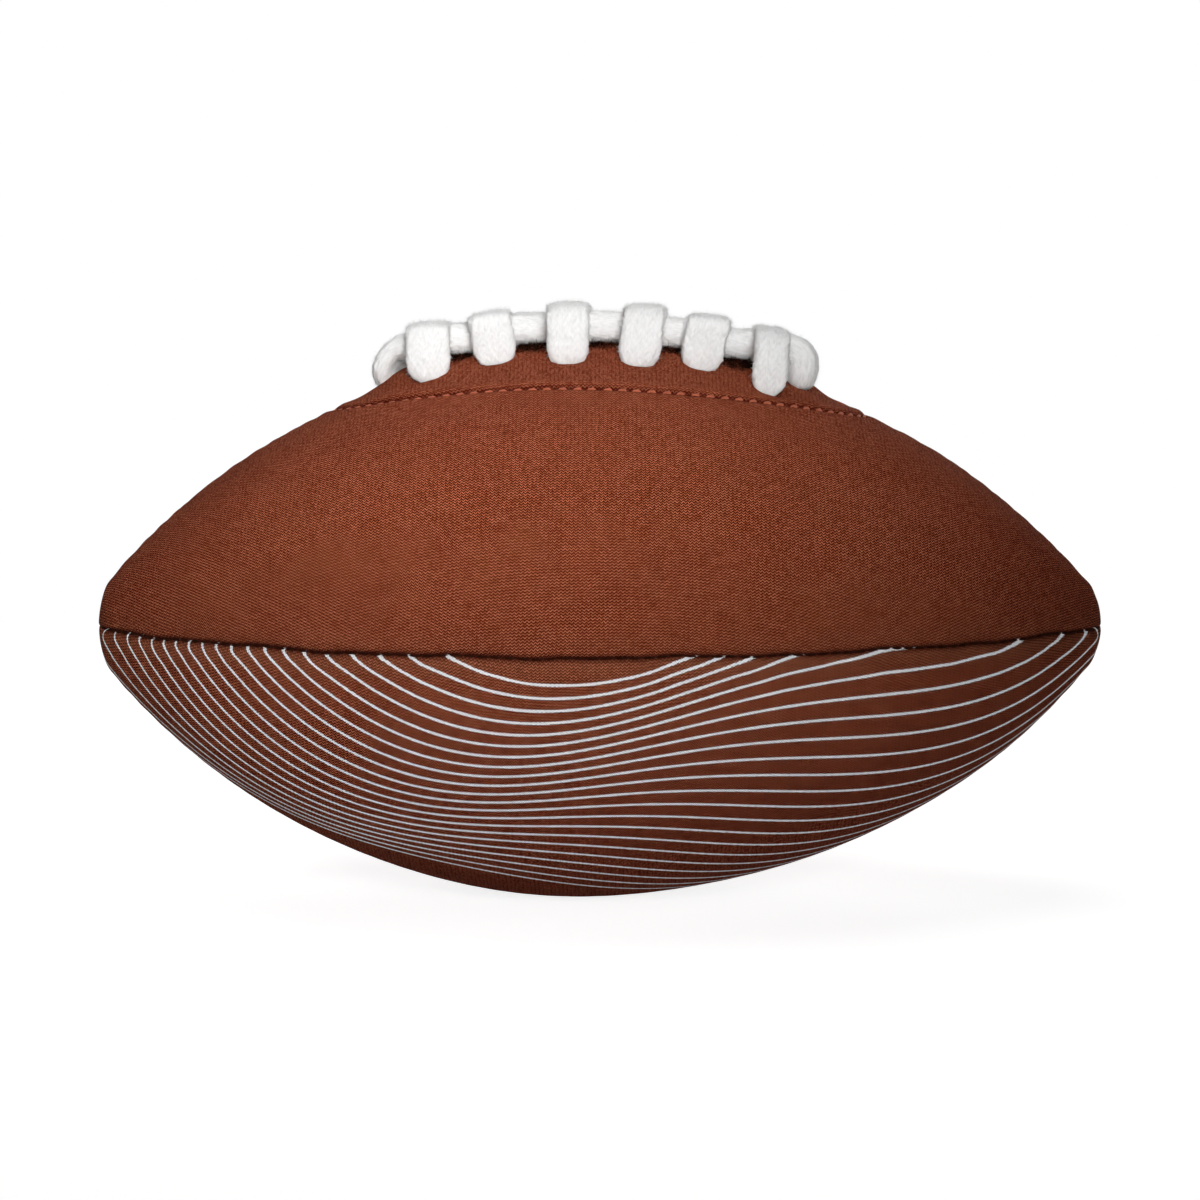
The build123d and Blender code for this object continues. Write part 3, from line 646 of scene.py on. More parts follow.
# a panel's grid, with a rolled edge each side of the face: places along and across it, how far the edges
# turn down and the distance to the seam
def panelGrid(grid):
    tip = halfOutline - panels["tipGap"]
    count = int(2 * tip / grid["step"])
    even = np.linspace(-1, 1, count)
    u = tip * (even + panels["tipFine"] * np.sin(math.pi * even))[:, None]
    half = outline(u)[1] * halfPanel
    roll = np.minimum(panels["rollWidth"], panels["rollShare"] * half)
    depth = panels["rollDepth"] * roll / panels["rollWidth"]
    turn = np.linspace(math.pi / 2, 0, panels["rollSteps"], endpoint=False)
    edgeIn = roll * (1 - np.sin(turn))
    edgeDown = depth * (1 - np.cos(turn))
    face = np.interp(np.linspace(0, 1, grid["columns"]), [0, grid["denseTo"], 1], [0, grid["dense"], 1])
    across = np.hstack([edgeIn - half, (face * 2 - 1) * (half - roll), (half - edgeIn)[:, ::-1]])
    down = np.hstack([edgeDown, np.zeros((count, grid["columns"])), edgeDown[:, ::-1]])
    return np.broadcast_to(u, across.shape), across, down, half - np.abs(across)


# the cover by the lacing: lips along the slit, the stitch row's valley and the pull round each hole, and the
# painted shade along the row
def lacedLift(u, around, hand, inner, lift, paintedShade):
    sideways = coverPoint(u, around, 0 * lift)
    lift = lift + (sideways[..., 2] > 0) * weltRise(u, sideways[..., 1])
    plan = coverPoint(u, around, lift)
    x, y = plan[..., 0], np.abs(plan[..., 1])
    a, b = stitchRow["halfLength"], stitchRow["halfWidth"]
    level = np.hypot(x / a, y / b)
    slope = np.hypot(x / a**2, y / b**2) / np.maximum(level, 1e-6)
    off = (level - 1) / np.maximum(slope, 1e-6)
    run = np.interp(np.arctan2(y / b, x / a), rowTurn, rowRun)
    pinch = 1 - stitchRow["pinch"] + stitchRow["pinch"] * np.cos(fullTurn * run / stitchRow["pitch"])
    valley = stitchRow["valley"] * pinch * bell(off, stitchRow["valleyWidth"])
    beside = np.abs(off) - stitchRow["shoulderOff"]
    swell = stitchRow["shoulder"] * bell(beside, stitchRow["shoulderWidth"])
    raised = stitchRow["patchRise"] * falling(off / stitchRow["patchFade"])
    flatEnd = (1 - stitchRow["flatEnd"]) * np.clip((x + a) / stitchRow["flatReach"], 0, 1)
    nearTop = np.abs(around if hand > 0 else fullTurn - around) < math.pi / 2
    lift = lift + inner * nearTop * (swell - valley + raised) * (stitchRow["flatEnd"] + flatEnd)
    # painted shade: the cloth is coloured darker along the stitch row
    paintedShade = paintedShade + nearTop * stitchRow["shade"] * bell(off, stitchRow["shadeWidth"])
    gap = np.maximum(laceHoles(u, plan[..., 1])[0], 0)
    pull = lacing["holePull"] * bell(gap, lacing["holePullReach"])
    return lift - (plan[..., 2] > 0) * pull, paintedShade


# points near a hole's outline move onto it, and the cells inside are left out
def openLaceHoles(u, around, hand, lift):
    points = coverPoint(u, around, lift)
    gap, wayU, wayY = laceHoles(u, points[..., 1])
    onTop = points[..., 2] > 0
    snap = (np.abs(gap) < lacing["snap"]) & onTop
    moved = u - np.where(snap, gap * wayU, 0)
    newY = points[..., 1] - np.where(snap, gap * wayY, 0)
    radius = np.hypot(points[..., 1], points[..., 2])
    turned = np.arcsin(np.clip(-newY / radius, -1, 1))
    around = np.where(snap, turned if hand > 0 else turned % fullTurn, around)
    return coverPoint(moved, around, lift), (cellMean(gap) > 0.02) | ~onTop[:-1, :-1]


# the same for the round valve hole, in the middle of a panel
def openValveHole(u, across, r, bearing, hand, lift):
    gap = np.hypot(u, across) - valve["hole"]
    snap = np.abs(gap) < valve["snap"]
    scale = np.where(snap, valve["hole"] / np.maximum(gap + valve["hole"], 1e-6), 1)
    sunk = lift - valve["pull"] * bell(np.maximum(gap, 0), valve["pullReach"])
    return coverPoint(u * scale, bearing + hand * across * scale / r, sunk), cellMean(gap) > 0


def coverPanel(name, cadNode, turn, hand, seed, grid, cloth):
    bearing = turn * halfPanel
    u, across, down, seamGap = panelGrid(grid)
    x, r = outline(u)[:2]
    # the seams wander, and the panel with them near its edges; the valve's panel stays straight
    near = bell(seamGap, panels["waverReach"])
    firstSeam = (bearing - hand * halfPanel) % fullTurn
    lastSeam = (bearing + hand * halfPanel) % fullTurn
    shift = np.where(across < 0, seamWaver(u, firstSeam), seamWaver(u, lastSeam))
    around = bearing + hand * across / r + near * shift / r
    # little gathers along the seams and broad unevenness of the filled cover
    inner = np.clip(seamGap / panels["edgeFade"], 0, 1)
    fade = np.clip((halfOutline - np.abs(u)) / panels["tipFade"], 0, 1)
    gather = np.sin(u / panels["puckerRun"] + panels["puckerStray"] * unevenness(u, across, 22, seed))
    lift = -down + inner * fade * panels["pucker"] * (gather * np.exp(-seamGap / panels["puckerReach"]))
    lift = lift + inner * fade * panels["broadUneven"] * unevenness(u, across, 55, seed + 5)
    # painted shade: the cloth is coloured darker where the edges roll down into the seams
    paintedShade = panels["rollShade"] * np.clip(down / panels["rollDepth"] * 2.2 - 0.35, 0, 1)
    if grid == lacedGrid:
        lift, paintedShade = lacedLift(u, around, hand, inner, lift, paintedShade)
        points, keep = openLaceHoles(u, around, hand, lift)
    elif cadNode == "lower_rear_panel":
        points, keep = openValveHole(u, across, r, bearing, hand, lift)
    else:
        points = coverPoint(u, around, lift)
        keep = np.ones((len(u) - 1, u.shape[1] - 1), dtype=bool)
    fields = {"seamGap": seamGap, "paintedShade": np.clip(paintedShade, 0, 1)}
    if cloth == printedCloth:
        fields["lineRow"], fields["linePitch"] = flowFields(x[:, 0], u, across)
    sheetPiece(name, cadNode, points, keep, hand, cloth, np.stack([u, across], axis=-1), fields)


coverPanel("coverUpperFront", "upper_front_panel", 1, 1, 11, lacedGrid, plainCloth)
coverPanel("coverUpperRear", "upper_rear_panel", 7, -1, 23, lacedGrid, plainCloth)
coverPanel("coverLowerFront", "lower_front_panel", 3, 1, 37, plainGrid, printedCloth)
coverPanel("coverLowerRear", "lower_rear_panel", 5, -1, 41, plainGrid, plainCloth)
print("cover panels made")


# one stitch as a short twisted two-ply capsule: its points, faces and height of the ply
def stitchForm(alongCount, aroundCount, twist):
    t = np.linspace(-1, 1, alongCount + 2)[1:-1]
    swell = np.sqrt(np.clip(1 - np.abs(t)**3.2, 0.02, 1))
    turn = np.linspace(0, fullTurn, aroundCount, endpoint=False)
    plyRise = 0.16
    ply = 1 + plyRise * np.cos(2 * (turn[None, :] - twist * t[:, None]))
    radial = swell[:, None] * ply
    along = np.repeat(t[:, None], aroundCount, 1)
    form = np.stack([along, radial * np.cos(turn), radial * np.sin(turn)], axis=-1)
    form = np.vstack([form.reshape(-1, 3), [[-1, 0, 0], [1, 0, 0]]])
    height = np.append((ply / (1 + plyRise)).ravel(), [0.5, 0.5])
    return form, tubeFaces(alongCount, aroundCount), height


# a run of such stitches: places, headings and outward ways, each an array of rows
def sewnRow(name, cadNode, places, headings, outward, sewing, material):
    shape, faces, height = stitchForm(*sewing["form"])
    length, radius = sewing["length"], sewing["radius"]
    side = unit(np.cross(outward, headings))
    t = shape[:, 0]
    ahead = (t * length / 2)[:, None]
    sideways = (shape[:, 1] * radius)[:, None]
    up = (shape[:, 2] * radius - sewing["dip"] * np.abs(t)**3)[:, None]
    girth = np.arctan2(shape[:, 2], shape[:, 1]) * radius
    points = []
    patterns = []
    for k in range(len(places)):
        points.append(places[k] + headings[k] * ahead + side[k] * sideways + outward[k] * up)
        patterns.append(np.stack([t * length / 2 + k * length, girth], axis=-1))
    faces = copiedFaces(faces, len(shape), len(places))
    heights = np.tile(height, len(places))
    piece = makePiece(name, np.vstack(points), faces, np.vstack(patterns), {"yarnHeight": heights})
    settle(piece, material, cadNode)


def patchStitches(name, cadNode, hand, seed):
    rng = np.random.default_rng(seed)
    clear = np.where(stitchRow["halfWidth"] * np.sin(rowTurn) > stitchRow["seamGap"])[0]
    start, end = rowRun[clear[0]], rowRun[clear[-1]]
    pitch, stray, tiltStray = stitchRow["pitch"], stitchRow["pitchSpread"], stitchRow["tiltSpread"]
    count = int((end - start) / pitch)
    spare = (end - start - (count - 1) * pitch) / 2
    runs = start + spare + pitch * np.arange(count) + rng.uniform(-stray, stray, count)
    lift = stitchRow["proud"] - stitchRow["radius"]

    def rowPoint(run, up):
        bearing = hand * np.interp(run, rowRun, rowBearing)
        return coverPoint(np.interp(run, rowRun, rowU), bearing, np.full(run.shape, up))

    places = rowPoint(runs, lift)
    outward = unit(rowPoint(runs, lift + 1) - places)
    headings = unit(rowPoint(runs + 0.6, lift) - rowPoint(runs - 0.6, lift))
    side = unit(np.cross(outward, headings))
    tilt = np.radians(stitchRow["tilt"] + rng.uniform(-tiltStray, tiltStray, count))[:, None]
    headings = unit(headings * np.cos(tilt) + hand * side * np.sin(tilt))
    sewnRow(name, cadNode, places, headings, outward, stitchRow, patchThreadAndHighlight)


patchStitches("patchStitchesFront", "front_patch_stitching", 1, 3)
patchStitches("patchStitchesRear", "rear_patch_stitching", -1, 4)

seamSewing = {
    "pitch": 3.0, "pitchSpread": 0.08, "length": 2.8, "radius": 0.27, "dip": 0.2, "form": (5, 6, 2.0),
    "inset": 0.95, "tipGap": 9.0, "slitGap": 4.0,
}


# thread deep in one seam, from one outline distance to another
def seamStitches(name, cadNode, bearing, start, end, seed):
    rng = np.random.default_rng(seed)
    count = int((end - start) / seamSewing["pitch"])
    stray = seamSewing["pitchSpread"]
    u = np.linspace(start, end, count + 2)[1:-1] + rng.uniform(-stray, stray, count)

    def threadPoint(along, up):
        shift = seamWaver(along, bearing % fullTurn) / outline(along)[1]
        return coverPoint(along, bearing + shift, np.full(along.shape, up))

    places = threadPoint(u, -seamSewing["inset"])
    outward = unit(threadPoint(u, 1.0) - places)
    headings = unit(threadPoint(u + 0.5, 0.0) - threadPoint(u - 0.5, 0.0))
    sewnRow(name, cadNode, places, headings, outward, seamSewing, seamThread)


threadEnd = halfOutline - seamSewing["tipGap"]
slitEnd = seamDistance(stitchRow["halfLength"] - seamSewing["slitGap"])
seamStitches("seamThreadFront", "front_seam_thread", 2 * halfPanel, -threadEnd, threadEnd, 51)
seamStitches("seamThreadBottom", "bottom_seam_thread", 4 * halfPanel, -threadEnd, threadEnd, 52)
seamStitches("seamThreadRear", "rear_seam_thread", 6 * halfPanel, -threadEnd, threadEnd, 53)
seamStitches("seamThreadTopLeft", "left_top_seam_thread", 0.0, -threadEnd, -slitEnd, 54)
seamStitches("seamThreadTopRight", "right_top_seam_thread", 0.0, slitEnd, threadEnd, 55)
print("stitching made")


# smooth line led by a route's control points, evenly spaced
def smoothLine(points, spacing):
    curve = bpy.data.curves.new("route", "CURVE")
    curve.dimensions = "3D"
    spline = curve.splines.new("NURBS")
    spline.points.add(len(points) - 1)
    for place, point in zip(spline.points, points):
        place.co = (point[0], point[1], point[2], 1)
    spline.order_u = 3
    spline.use_endpoint_u = True
    spline.resolution_u = 24
    holder = bpy.data.objects.new("route", curve)
    bpy.context.scene.collection.objects.link(holder)
    bpy.context.view_layer.update()
    mesh = bpy.data.meshes.new_from_object(holder)
    line = np.array([vertex.co[:] for vertex in mesh.vertices])
    bpy.data.objects.remove(holder)
    bpy.data.curves.remove(curve)
    bpy.data.meshes.remove(mesh)
    run = runAlong(line)
    keep = np.concatenate([[True], np.diff(run) > 1e-6])
    even = np.linspace(0, run[-1], max(int(run[-1] / spacing), 8))
    return np.stack([np.interp(even, run[keep], line[keep, axis]) for axis in range(3)], axis=-1)


braid = {
    "yarn": 0.92,             # width of one yarn
    # of the yarns to the lace's length, radians
    "slant": 0.62, "strandSlant": 0.3,
    # of the yarns, and the share of it that lies inside the section's outline
    "height": 0.10, "level": 0.7,
    "fluff": 0.11, "lump": 0.12, "lumpLength": 9.0,
    "around": 84,
    # how square the sections are; 2 is an ellipse
    "crossSquare": 3.0, "underSquare": 2.7, "strandSquare": 2.15,
}


# height of the braid's yarns, over two and under two, at run u and place v round the lace
def braidHeight(u, v, girth, slant):
    turns = max(round(girth * math.cos(slant) / braid["yarn"] / 4) * 4, 8)
    one = turns * v / girth + u * math.sin(slant) / braid["yarn"]
    two = turns * v / girth - u * math.sin(slant) / braid["yarn"]
    upper = 0.5 + 0.5 * np.tanh(3.5 * np.sin(math.pi * (one + two) / 2))
    return upper * np.abs(np.sin(math.pi * one))**0.7 + (1 - upper) * np.abs(np.sin(math.pi * two))**0.7


# section of a soft flat or round lace as a unit outline, evenly spaced round
def laceSection(halfWidth, halfThick, squareness, count):
    turn = np.linspace(0, fullTurn, 2000)
    c, s = np.cos(turn), np.sin(turn)
    a = np.sign(c) * np.abs(c)**(2 / squareness)
    b = np.sign(s) * np.abs(s)**(2 / squareness)
    run = runAlong(np.stack([a * halfWidth, b * halfThick], axis=-1))
    even = np.linspace(0, run[-1], count, endpoint=False)
    return np.interp(even, run, a), np.interp(even, run, b), run[-1], even


# sweeps the section along a line; widthWay gives the wide side, and the two sizes may change along it
def sweptLace(line, widthWay, halfWidth, halfThick, squareness, slant, seed):
    a, b, girth, place = laceSection(halfWidth.max(), halfThick.max(), squareness, braid["around"])
    ahead = unit(np.gradient(line, axis=0))
    if widthWay is None:
        # carried along the line without twist, from a side across the ball
        wide = np.zeros_like(line)
        way = np.array([0.0, 1.0, 0.0])
        for k in range(len(line)):
            way = unit(way - ahead[k] * np.dot(way, ahead[k]))
            wide[k] = way
    else:
        wide = unit(widthWay - ahead * np.sum(widthWay * ahead, axis=1, keepdims=True))
    thick = np.cross(ahead, wide)
    base = line[:, None, :] + wide[:, None, :] * (halfWidth[:, None] * a)[..., None]
    base = base + thick[:, None, :] * (halfThick[:, None] * b)[..., None]
    tangent = np.gradient(base, axis=0)
    girthWay = np.roll(base, -1, axis=1) - np.roll(base, 1, axis=1)
    normal = unit(np.cross(girthWay, tangent))
    if np.sum(normal * (base - line[:, None, :])) < 0:
        normal = -normal
    u = np.broadcast_to(runAlong(line)[:, None], base.shape[:2])
    v = np.broadcast_to(place, base.shape[:2])
    height = braidHeight(u, v, girth, slant)
    rng = np.random.default_rng(seed)
    rough = rng.normal(0, 1, height.shape)
    fluff = rough
    for by, axis in ((1, 1), (-1, 1), (1, 0), (-1, 0)):
        fluff = fluff + np.roll(rough, by, axis)
    out = braid["height"] * (height - braid["level"]) + braid["fluff"] * (fluff / 2.3)
    out = out + braid["lump"] * unevenness(u, v, braid["lumpLength"], seed + 1)
    return base + normal * out[..., None], normal, u, v, height


def lacePiece(name, swept):
    points, normal, u, v, height = swept
    count, around = u.shape
    allPoints = np.vstack([points.reshape(-1, 3), points[0].mean(0), points[-1].mean(0)])
    # the faces look out of the lace
    sample = points[count // 2]
    facing = np.cross(sample[1] - sample[0], points[count // 2 + 1][0] - sample[0])
    faces = tubeFaces(count, around)
    if np.dot(facing, normal[count // 2, 0]) < 0:
        faces = [face[::-1] for face in faces]
    pattern = np.vstack([np.stack([u, v], axis=-1).reshape(-1, 2), [[0, 0], [0, 0]]])
    heights = np.append(height.ravel(), [0.5, 0.5])
    piece = makePiece(name, allPoints, faces, pattern, {"yarnHeight": heights})
    settle(piece, cotton, "lace")


fuzz = {
    "root": 0.04, "shortest": 0.3, "longest": 1.3, "mostlyShort": 2.2, "stray": 0.75,
    "perSquareMillimetre": 5.0,
    "clear": 0.8,             # none nearer the cover than this
}
tuft = {
    "reach": (-42.0, 44.0),
    "count": 16000,
    "root": 0.065, "shortest": 1.2, "longest": 3.6, "mostlyShort": 1.6, "stray": 0.7,
    "slant": 0.5,             # away from the slit
    # roots begin this far from the slit and go on over a width that varies
    "inside": 3.6, "narrow": 1.6, "varying": 3.8,
}


# loose fibres as thin spikes from their roots
def fibres(name, cadNode, roots, ways, sizes, rng, material):
    count = len(roots)
    spare = sizes["longest"] - sizes["shortest"]
    length = sizes["shortest"] + spare * rng.random((count, 1))**sizes["mostlyShort"]
    side = unit(np.cross(ways, rng.normal(0, 1, (count, 3))))
    other = np.cross(ways, side)
    corners = []
    for k in range(3):
        turn = fullTurn * k / 3
        corners.append(roots + sizes["root"] * (side * math.cos(turn) + other * math.sin(turn)))
    corners.append(roots + ways * length)
    points = np.stack(corners, axis=1).reshape(-1, 3)
    spike = [(0, 2, 1), (0, 1, 3), (1, 2, 3), (2, 0, 3)]
    faces = copiedFaces(spike, 4, count)
    pattern = np.tile(np.array([[0, 0], [0, 0.1], [0, 0.2], [1, 0.1]]), (count, 1))
    piece = makePiece(name, points, faces, pattern, {"yarnHeight": np.full(len(points), 0.6)})
    settle(piece, material, cadNode)


# cotton fibres that stand off a lace
def laceFuzz(name, swept, seed):
    rng = np.random.default_rng(seed)
    points, normal, u, v = swept[:4]
    count = int(np.ptp(u) * np.ptp(v) * fuzz["perSquareMillimetre"])
    i = rng.integers(1, u.shape[0] - 1, count)
    j = rng.integers(0, u.shape[1], count)
    ways = normal[i, j]
    roots = points[i, j] - ways * 0.05
    # none where the lace is under the cover
    along = seamDistance(np.clip(roots[:, 0], -flankArc, flankArc))
    keep = np.hypot(roots[:, 1], roots[:, 2]) > outline(along)[1] + fuzz["clear"]
    roots, ways = roots[keep], ways[keep]
    ways = unit(ways + rng.normal(0, fuzz["stray"], ways.shape))
    fibres(name, "lace", roots, ways, fuzz, rng, fuzzCotton)


# dark fibres that come out of the slit under the strands, much darker than the tongue cloth: partly stray
# fibres and partly painted shade under the strands
def slitFibres(name, seed):
    rng = np.random.default_rng(seed)
    count = tuft["count"]
    u = rng.uniform(*tuft["reach"], count)
    hand = np.where(rng.random(count) < 0.5, -1, 1)
    # in tufts, some wider and some narrower
    tufted = np.clip(0.5 + 0.6 * unevenness(u, 5 * hand, 11, seed), 0, 1)
    width = tuft["narrow"] + tuft["varying"] * tufted
    y = hand * (tuft["inside"] + width * rng.random(count)**1.2)
    bearing = np.arcsin(-y / outline(u)[1])
    lift = weltRise(u, y)
    roots = coverPoint(u, bearing, lift - 0.1)
    outward = unit(coverPoint(u, bearing, lift + 1) - roots)
    ways = np.stack([0 * y, tuft["slant"] * hand, 0 * y], axis=-1)
    ways = ways + rng.normal(0, tuft["stray"], (count, 3))
    # none of them goes back into the cover
    sunk = np.sum(ways * outward, axis=1, keepdims=True)
    ways = unit(ways + outward * (np.abs(sunk) * 0.6 + 0.1 - sunk))
    fibres(name, "lace_tongue", roots, ways, tuft, rng, slitFuzzAndShade)


# patches and tongue under the lacing, and how deep the lace runs between them
underlay = {
    "patchInset": 2.6, "patchMargin": 3.0,
    "laceInset": 5.5,
    "tongueInset": 8.7, "tongueLength": 53.0, "tongueWidth": 18.0, "tongueCorner": 6.0,
    "grid": (150, 44),
}


# how deep the lace runs under the patch beside its holes
def laceDepth(x):
    radius = float(outline(seamDistance(x))[1])
    return radius - math.sqrt(radius**2 - lacing["holeOffset"]**2) + underlay["laceInset"]


# height of the cover at a lace's foot, above the top seam's line
def footHeight(x, y):
    u = seamDistance(x)
    radius = float(outline(u)[1])
    return math.sqrt(radius**2 - y**2) - radius + float(weltRise(u, y))


# 1 down to 0 over the foot of a lace, as a quarter of a circle
def footRounding(rise):
    gone = (lacing["footTop"] - rise) / (lacing["footTop"] - lacing["footEnd"])
    return np.sqrt(1 - np.clip(gone, 0, 1)**2)


# one turn: up through the far hole, over the strands and down the near hole
def laceTurn(lace, seed):
    rng = np.random.default_rng(seed)
    x, hole, lean, crown = lace["x"], lace["hole"], lace["lean"], lace["crown"]
    deep = -laceDepth(x)
    foot = footHeight(x + lean, hole)
    slips = rng.uniform(-0.2, 0.2, 2)
    # control points of one leg, from under the cover to the crossing: slip, distance from the slit, lift
    leg = [(lean, hole - lacing["tuck"], deep), (lean, hole, deep), (lean, hole, foot - 1.6),
           (lean, hole + 0.9, foot + 1.2), (0.6 * lean, hole + 0.5, 7.2), (0.2 * lean, 10.6, crown + 0.4)]
    far = [(slip + slips[0], y, lift) for slip, y, lift in leg]
    near = [(slip + slips[1], -y, lift) for slip, y, lift in reversed(leg)]
    over = smoothLine([lacePoint(x, *point) for point in far + [(0, 0, crown + 0.3)] + near], 0.33)
    origin, along, outward = laceFrame(x)
    rounding = footRounding((over - origin) @ outward - foot)
    gather, gatherThick = lacing["gather"], lacing["gatherThick"]
    wide = lace["width"] / 2 * (gather + (1 - gather) * rounding)
    thick = lacing["thickness"] / 2 * (gatherThick + (1 - gatherThick) * rounding)
    flat = np.exp(-(over[:, 1] / lacing["crownReach"])**4)
    thick = thick + (lacing["crownThickness"] / 2 - thick) * flat
    tilt = math.radians(lace["tilt"])
    widthWay = np.tile(along * math.cos(tilt) + outward * math.sin(tilt), (len(over), 1))
    return sweptLace(over, widthWay, wide, thick, braid["crossSquare"], braid["slant"], seed)


# the run under the cover from one turn to the one on its left
def laceUnder(k, seed):
    lace = crossLaces[k]
    x, hole, lean, tuck = lace["x"], lace["hole"], lace["lean"], lacing["tuck"]
    start = lacePoint(x, lean, tuck - hole, -laceDepth(x))
    end = lacePoint(x, lean, tuck + lacing["lastRun"] - hole, -laceDepth(x))
    if k > 0:
        after = crossLaces[k - 1]
        end = lacePoint(after["x"], after["lean"], after["hole"] - tuck, -laceDepth(after["x"]))
    line = start + (end - start) * np.linspace(0, 1, 26)[:, None]
    widthWay = np.tile(laceFrame(x)[1], (len(line), 1))
    wide = np.full(len(line), lace["width"] / 2 * lacing["underShare"])
    thick = np.full(len(line), lacing["underThickness"] / 2)
    return sweptLace(line, widthWay, wide, thick, braid["underSquare"], braid["slant"], seed)


turns = [laceTurn(lace, 70 + k) for k, lace in enumerate(crossLaces)]
for k, turn in enumerate(turns):
    lacePiece("laceCross" + str(k + 1), turn)
    lacePiece("laceUnder" + str(k + 1), laceUnder(k, 90 + k))


loop = {
    # control points of the loop at the left end: place, distance from the slit, near lift and far lift
    "points": [(-41.5, 4.0, 7.0, 6.3), (-44.2, 4.4, 8.2, 5.3), (-47.7, 4.2, 7.4, 3.6), (-49.6, 3.2, 4.2, 2.6),
               (-48.8, 1.0, 2.0, 1.8)],
    "slimness": 0.6,          # share of the strand's width left at the loop's end
    "slimFrom": -42.0,
    "slimTo": -48.0,
    "nearDepth": 5.3,         # how far the near strand's end goes under the cover
    "knobSlim": 0.62,         # the ends' shares of the width, in the cover and gained above it
    "knobFull": 0.44,
    "flatness": 0.97,
}


# the two long strands, joined by the loop at the left end
def strandRoute():
    y, lift, knob = lacing["strandOffset"], lacing["strandLift"], lacing["knobOffset"]
    dive, bend = lacing["diveX"], lacing["diveBend"]
    xs = [lace["x"] for lace in crossLaces]
    half = []
    for depth in (loop["nearDepth"], laceDepth(xs[-1])):
        end = [(bend, knob, -depth), (bend, knob, -1.0), (bend + 0.8, knob + 1.5, 1.5)]
        end += [(bend + 0.6, knob + 1.6, lift + 1.0), (-0.6, y + 0.3, lift + 0.6)]
        half.append([(dive, *place) for place in end])
    for x in reversed([(a + b) / 2 for a, b in zip(xs, xs[1:])]):
        for run in half:
            run += [(x, 3.6, y, lift), (x, -3.6, y + 0.1, lift + 0.1)]
    for x, off, nearLift, farLift in loop["points"]:
        half[0].append((x, 0, off, nearLift))
        half[1].append((x, 0, off, farLift))
    near = [lacePoint(x, slip, -off, up) for x, slip, off, up in half[0]]
    far = [lacePoint(x, slip, off, up) for x, slip, off, up in half[1]]
    return near + far[::-1]


# strand's radius along its line: slimmer in the loop, rounded off where it goes into the cover
def strandRadius(line):
    slim = np.clip((loop["slimFrom"] - line[:, 0]) / (loop["slimFrom"] - loop["slimTo"]), 0, 1)
    share = 1 - (1 - loop["slimness"]) * slim * slim * (3 - 2 * slim)
    u = seamDistance(line[:, 0])
    rise = np.hypot(line[:, 1], line[:, 2]) - outline(u)[1] - weltRise(u, line[:, 1])
    knob = loop["knobSlim"] + loop["knobFull"] * footRounding(rise)
    return lacing["strandRadius"] * np.where(line[:, 0] > lacing["diveX"], knob, share)


strandLine = smoothLine(strandRoute(), 0.36)
radii = strandRadius(strandLine)
strands = sweptLace(strandLine, None, radii, radii * loop["flatness"], braid["strandSquare"],
                    braid["strandSlant"], 61)
lacePiece("laceStrands", strands)
for k, turn in enumerate(turns):
    laceFuzz("laceFuzzCross" + str(k + 1), turn, 100 + k)
laceFuzz("laceFuzzStrands", strands, 64)
slitFibres("slitFibres", 66)
print("lace made")


# a cloth layer under the cover, between two edges across the ball that change along it
def layer(name, cadNode, edges, reach, inset, holed, hand, cloth):
    rows, columns = underlay["grid"]
    u = seamDistance(reach) * np.linspace(-1, 1, rows)[:, None]
    inside, outside = edges(outline(u)[0])
    y = inside + (outside - inside) * np.linspace(0, 1, columns)[None, :]
    middle = coverPoint(u, np.zeros_like(u), np.full(u.shape, -inset))
    radius = np.hypot(middle[..., 1], middle[..., 2])
    bearing = hand * np.arcsin(np.clip(y / radius, -1, 1))
    u = np.broadcast_to(u, y.shape)
    points = coverPoint(u, bearing, np.full(y.shape, -inset))
    keep = np.ones((rows - 1, columns - 1), dtype=bool)
    if holed:
        keep = cellMean(laceHoles(u, points[..., 1])[0]) > 0.1
    sheetPiece(name, cadNode, points, keep, hand, cloth)


patchReach = stitchRow["halfLength"] + underlay["patchMargin"]
patchWidth = stitchRow["halfWidth"] + underlay["patchMargin"]


def patchEdges(x):
    rim = patchWidth * np.sqrt(np.clip(1 - (x / patchReach)**2, 0.0001, 1))
    return np.full(x.shape, 0.12), np.maximum(rim, 0.4)


def tongueEdges(x):
    corner = underlay["tongueCorner"]
    past = np.clip(np.abs(x) - underlay["tongueLength"] + corner, 0, corner)
    rim = underlay["tongueWidth"] - corner + np.sqrt(corner**2 - past**2)
    return -rim, rim


patchLayer = {"material": patchCloth, "slot": "patch_cloth", "wall": 1.2, "flat": (0.0315, 0.135),
              "area": 0.0031}
tongueLayer = {"material": tongueCloth, "slot": "tongue_cloth", "wall": 1.5, "flat": (0.037, 0.110),
               "area": 0.0040}
for side, hand in (("Front", 1), ("Rear", -1)):
    layer("lacePatch" + side, side.lower() + "_lace_patch", patchEdges, patchReach - 0.1,
          underlay["patchInset"], True, hand, patchLayer)
layer("laceTongue", "lace_tongue", tongueEdges, underlay["tongueLength"] - 0.01,
      underlay["tongueInset"], False, 1, tongueLayer)
print("underlay made")

for cadNode, finish in (("bladder", bladderRubber), ("valve_stem", valveRubber), ("valve_slug", slugRubber)):
    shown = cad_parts[cadNode]
    shown.data.materials.clear()
    shown.data.materials.append(finish)


# lengths in metres and angles in degrees
studio = {
    "middle": (0, 0, 0.062),
    "ambient": 0.008,
    "floorTone": (0.78, 0.78, 0.78, 1),
    "floorGlow": 0.85,
    "floorFar": (0.2, 0.6),   # the floor fades to white between these distances
    "sensor": 36.0,
    "distance": 0.75,
    "elevation": 6.2,
    "frameWidth": 0.276,      # what the picture takes in at the ball
    "ballDrop": 0.00575,      # the ball's middle is this far under the picture's middle
}
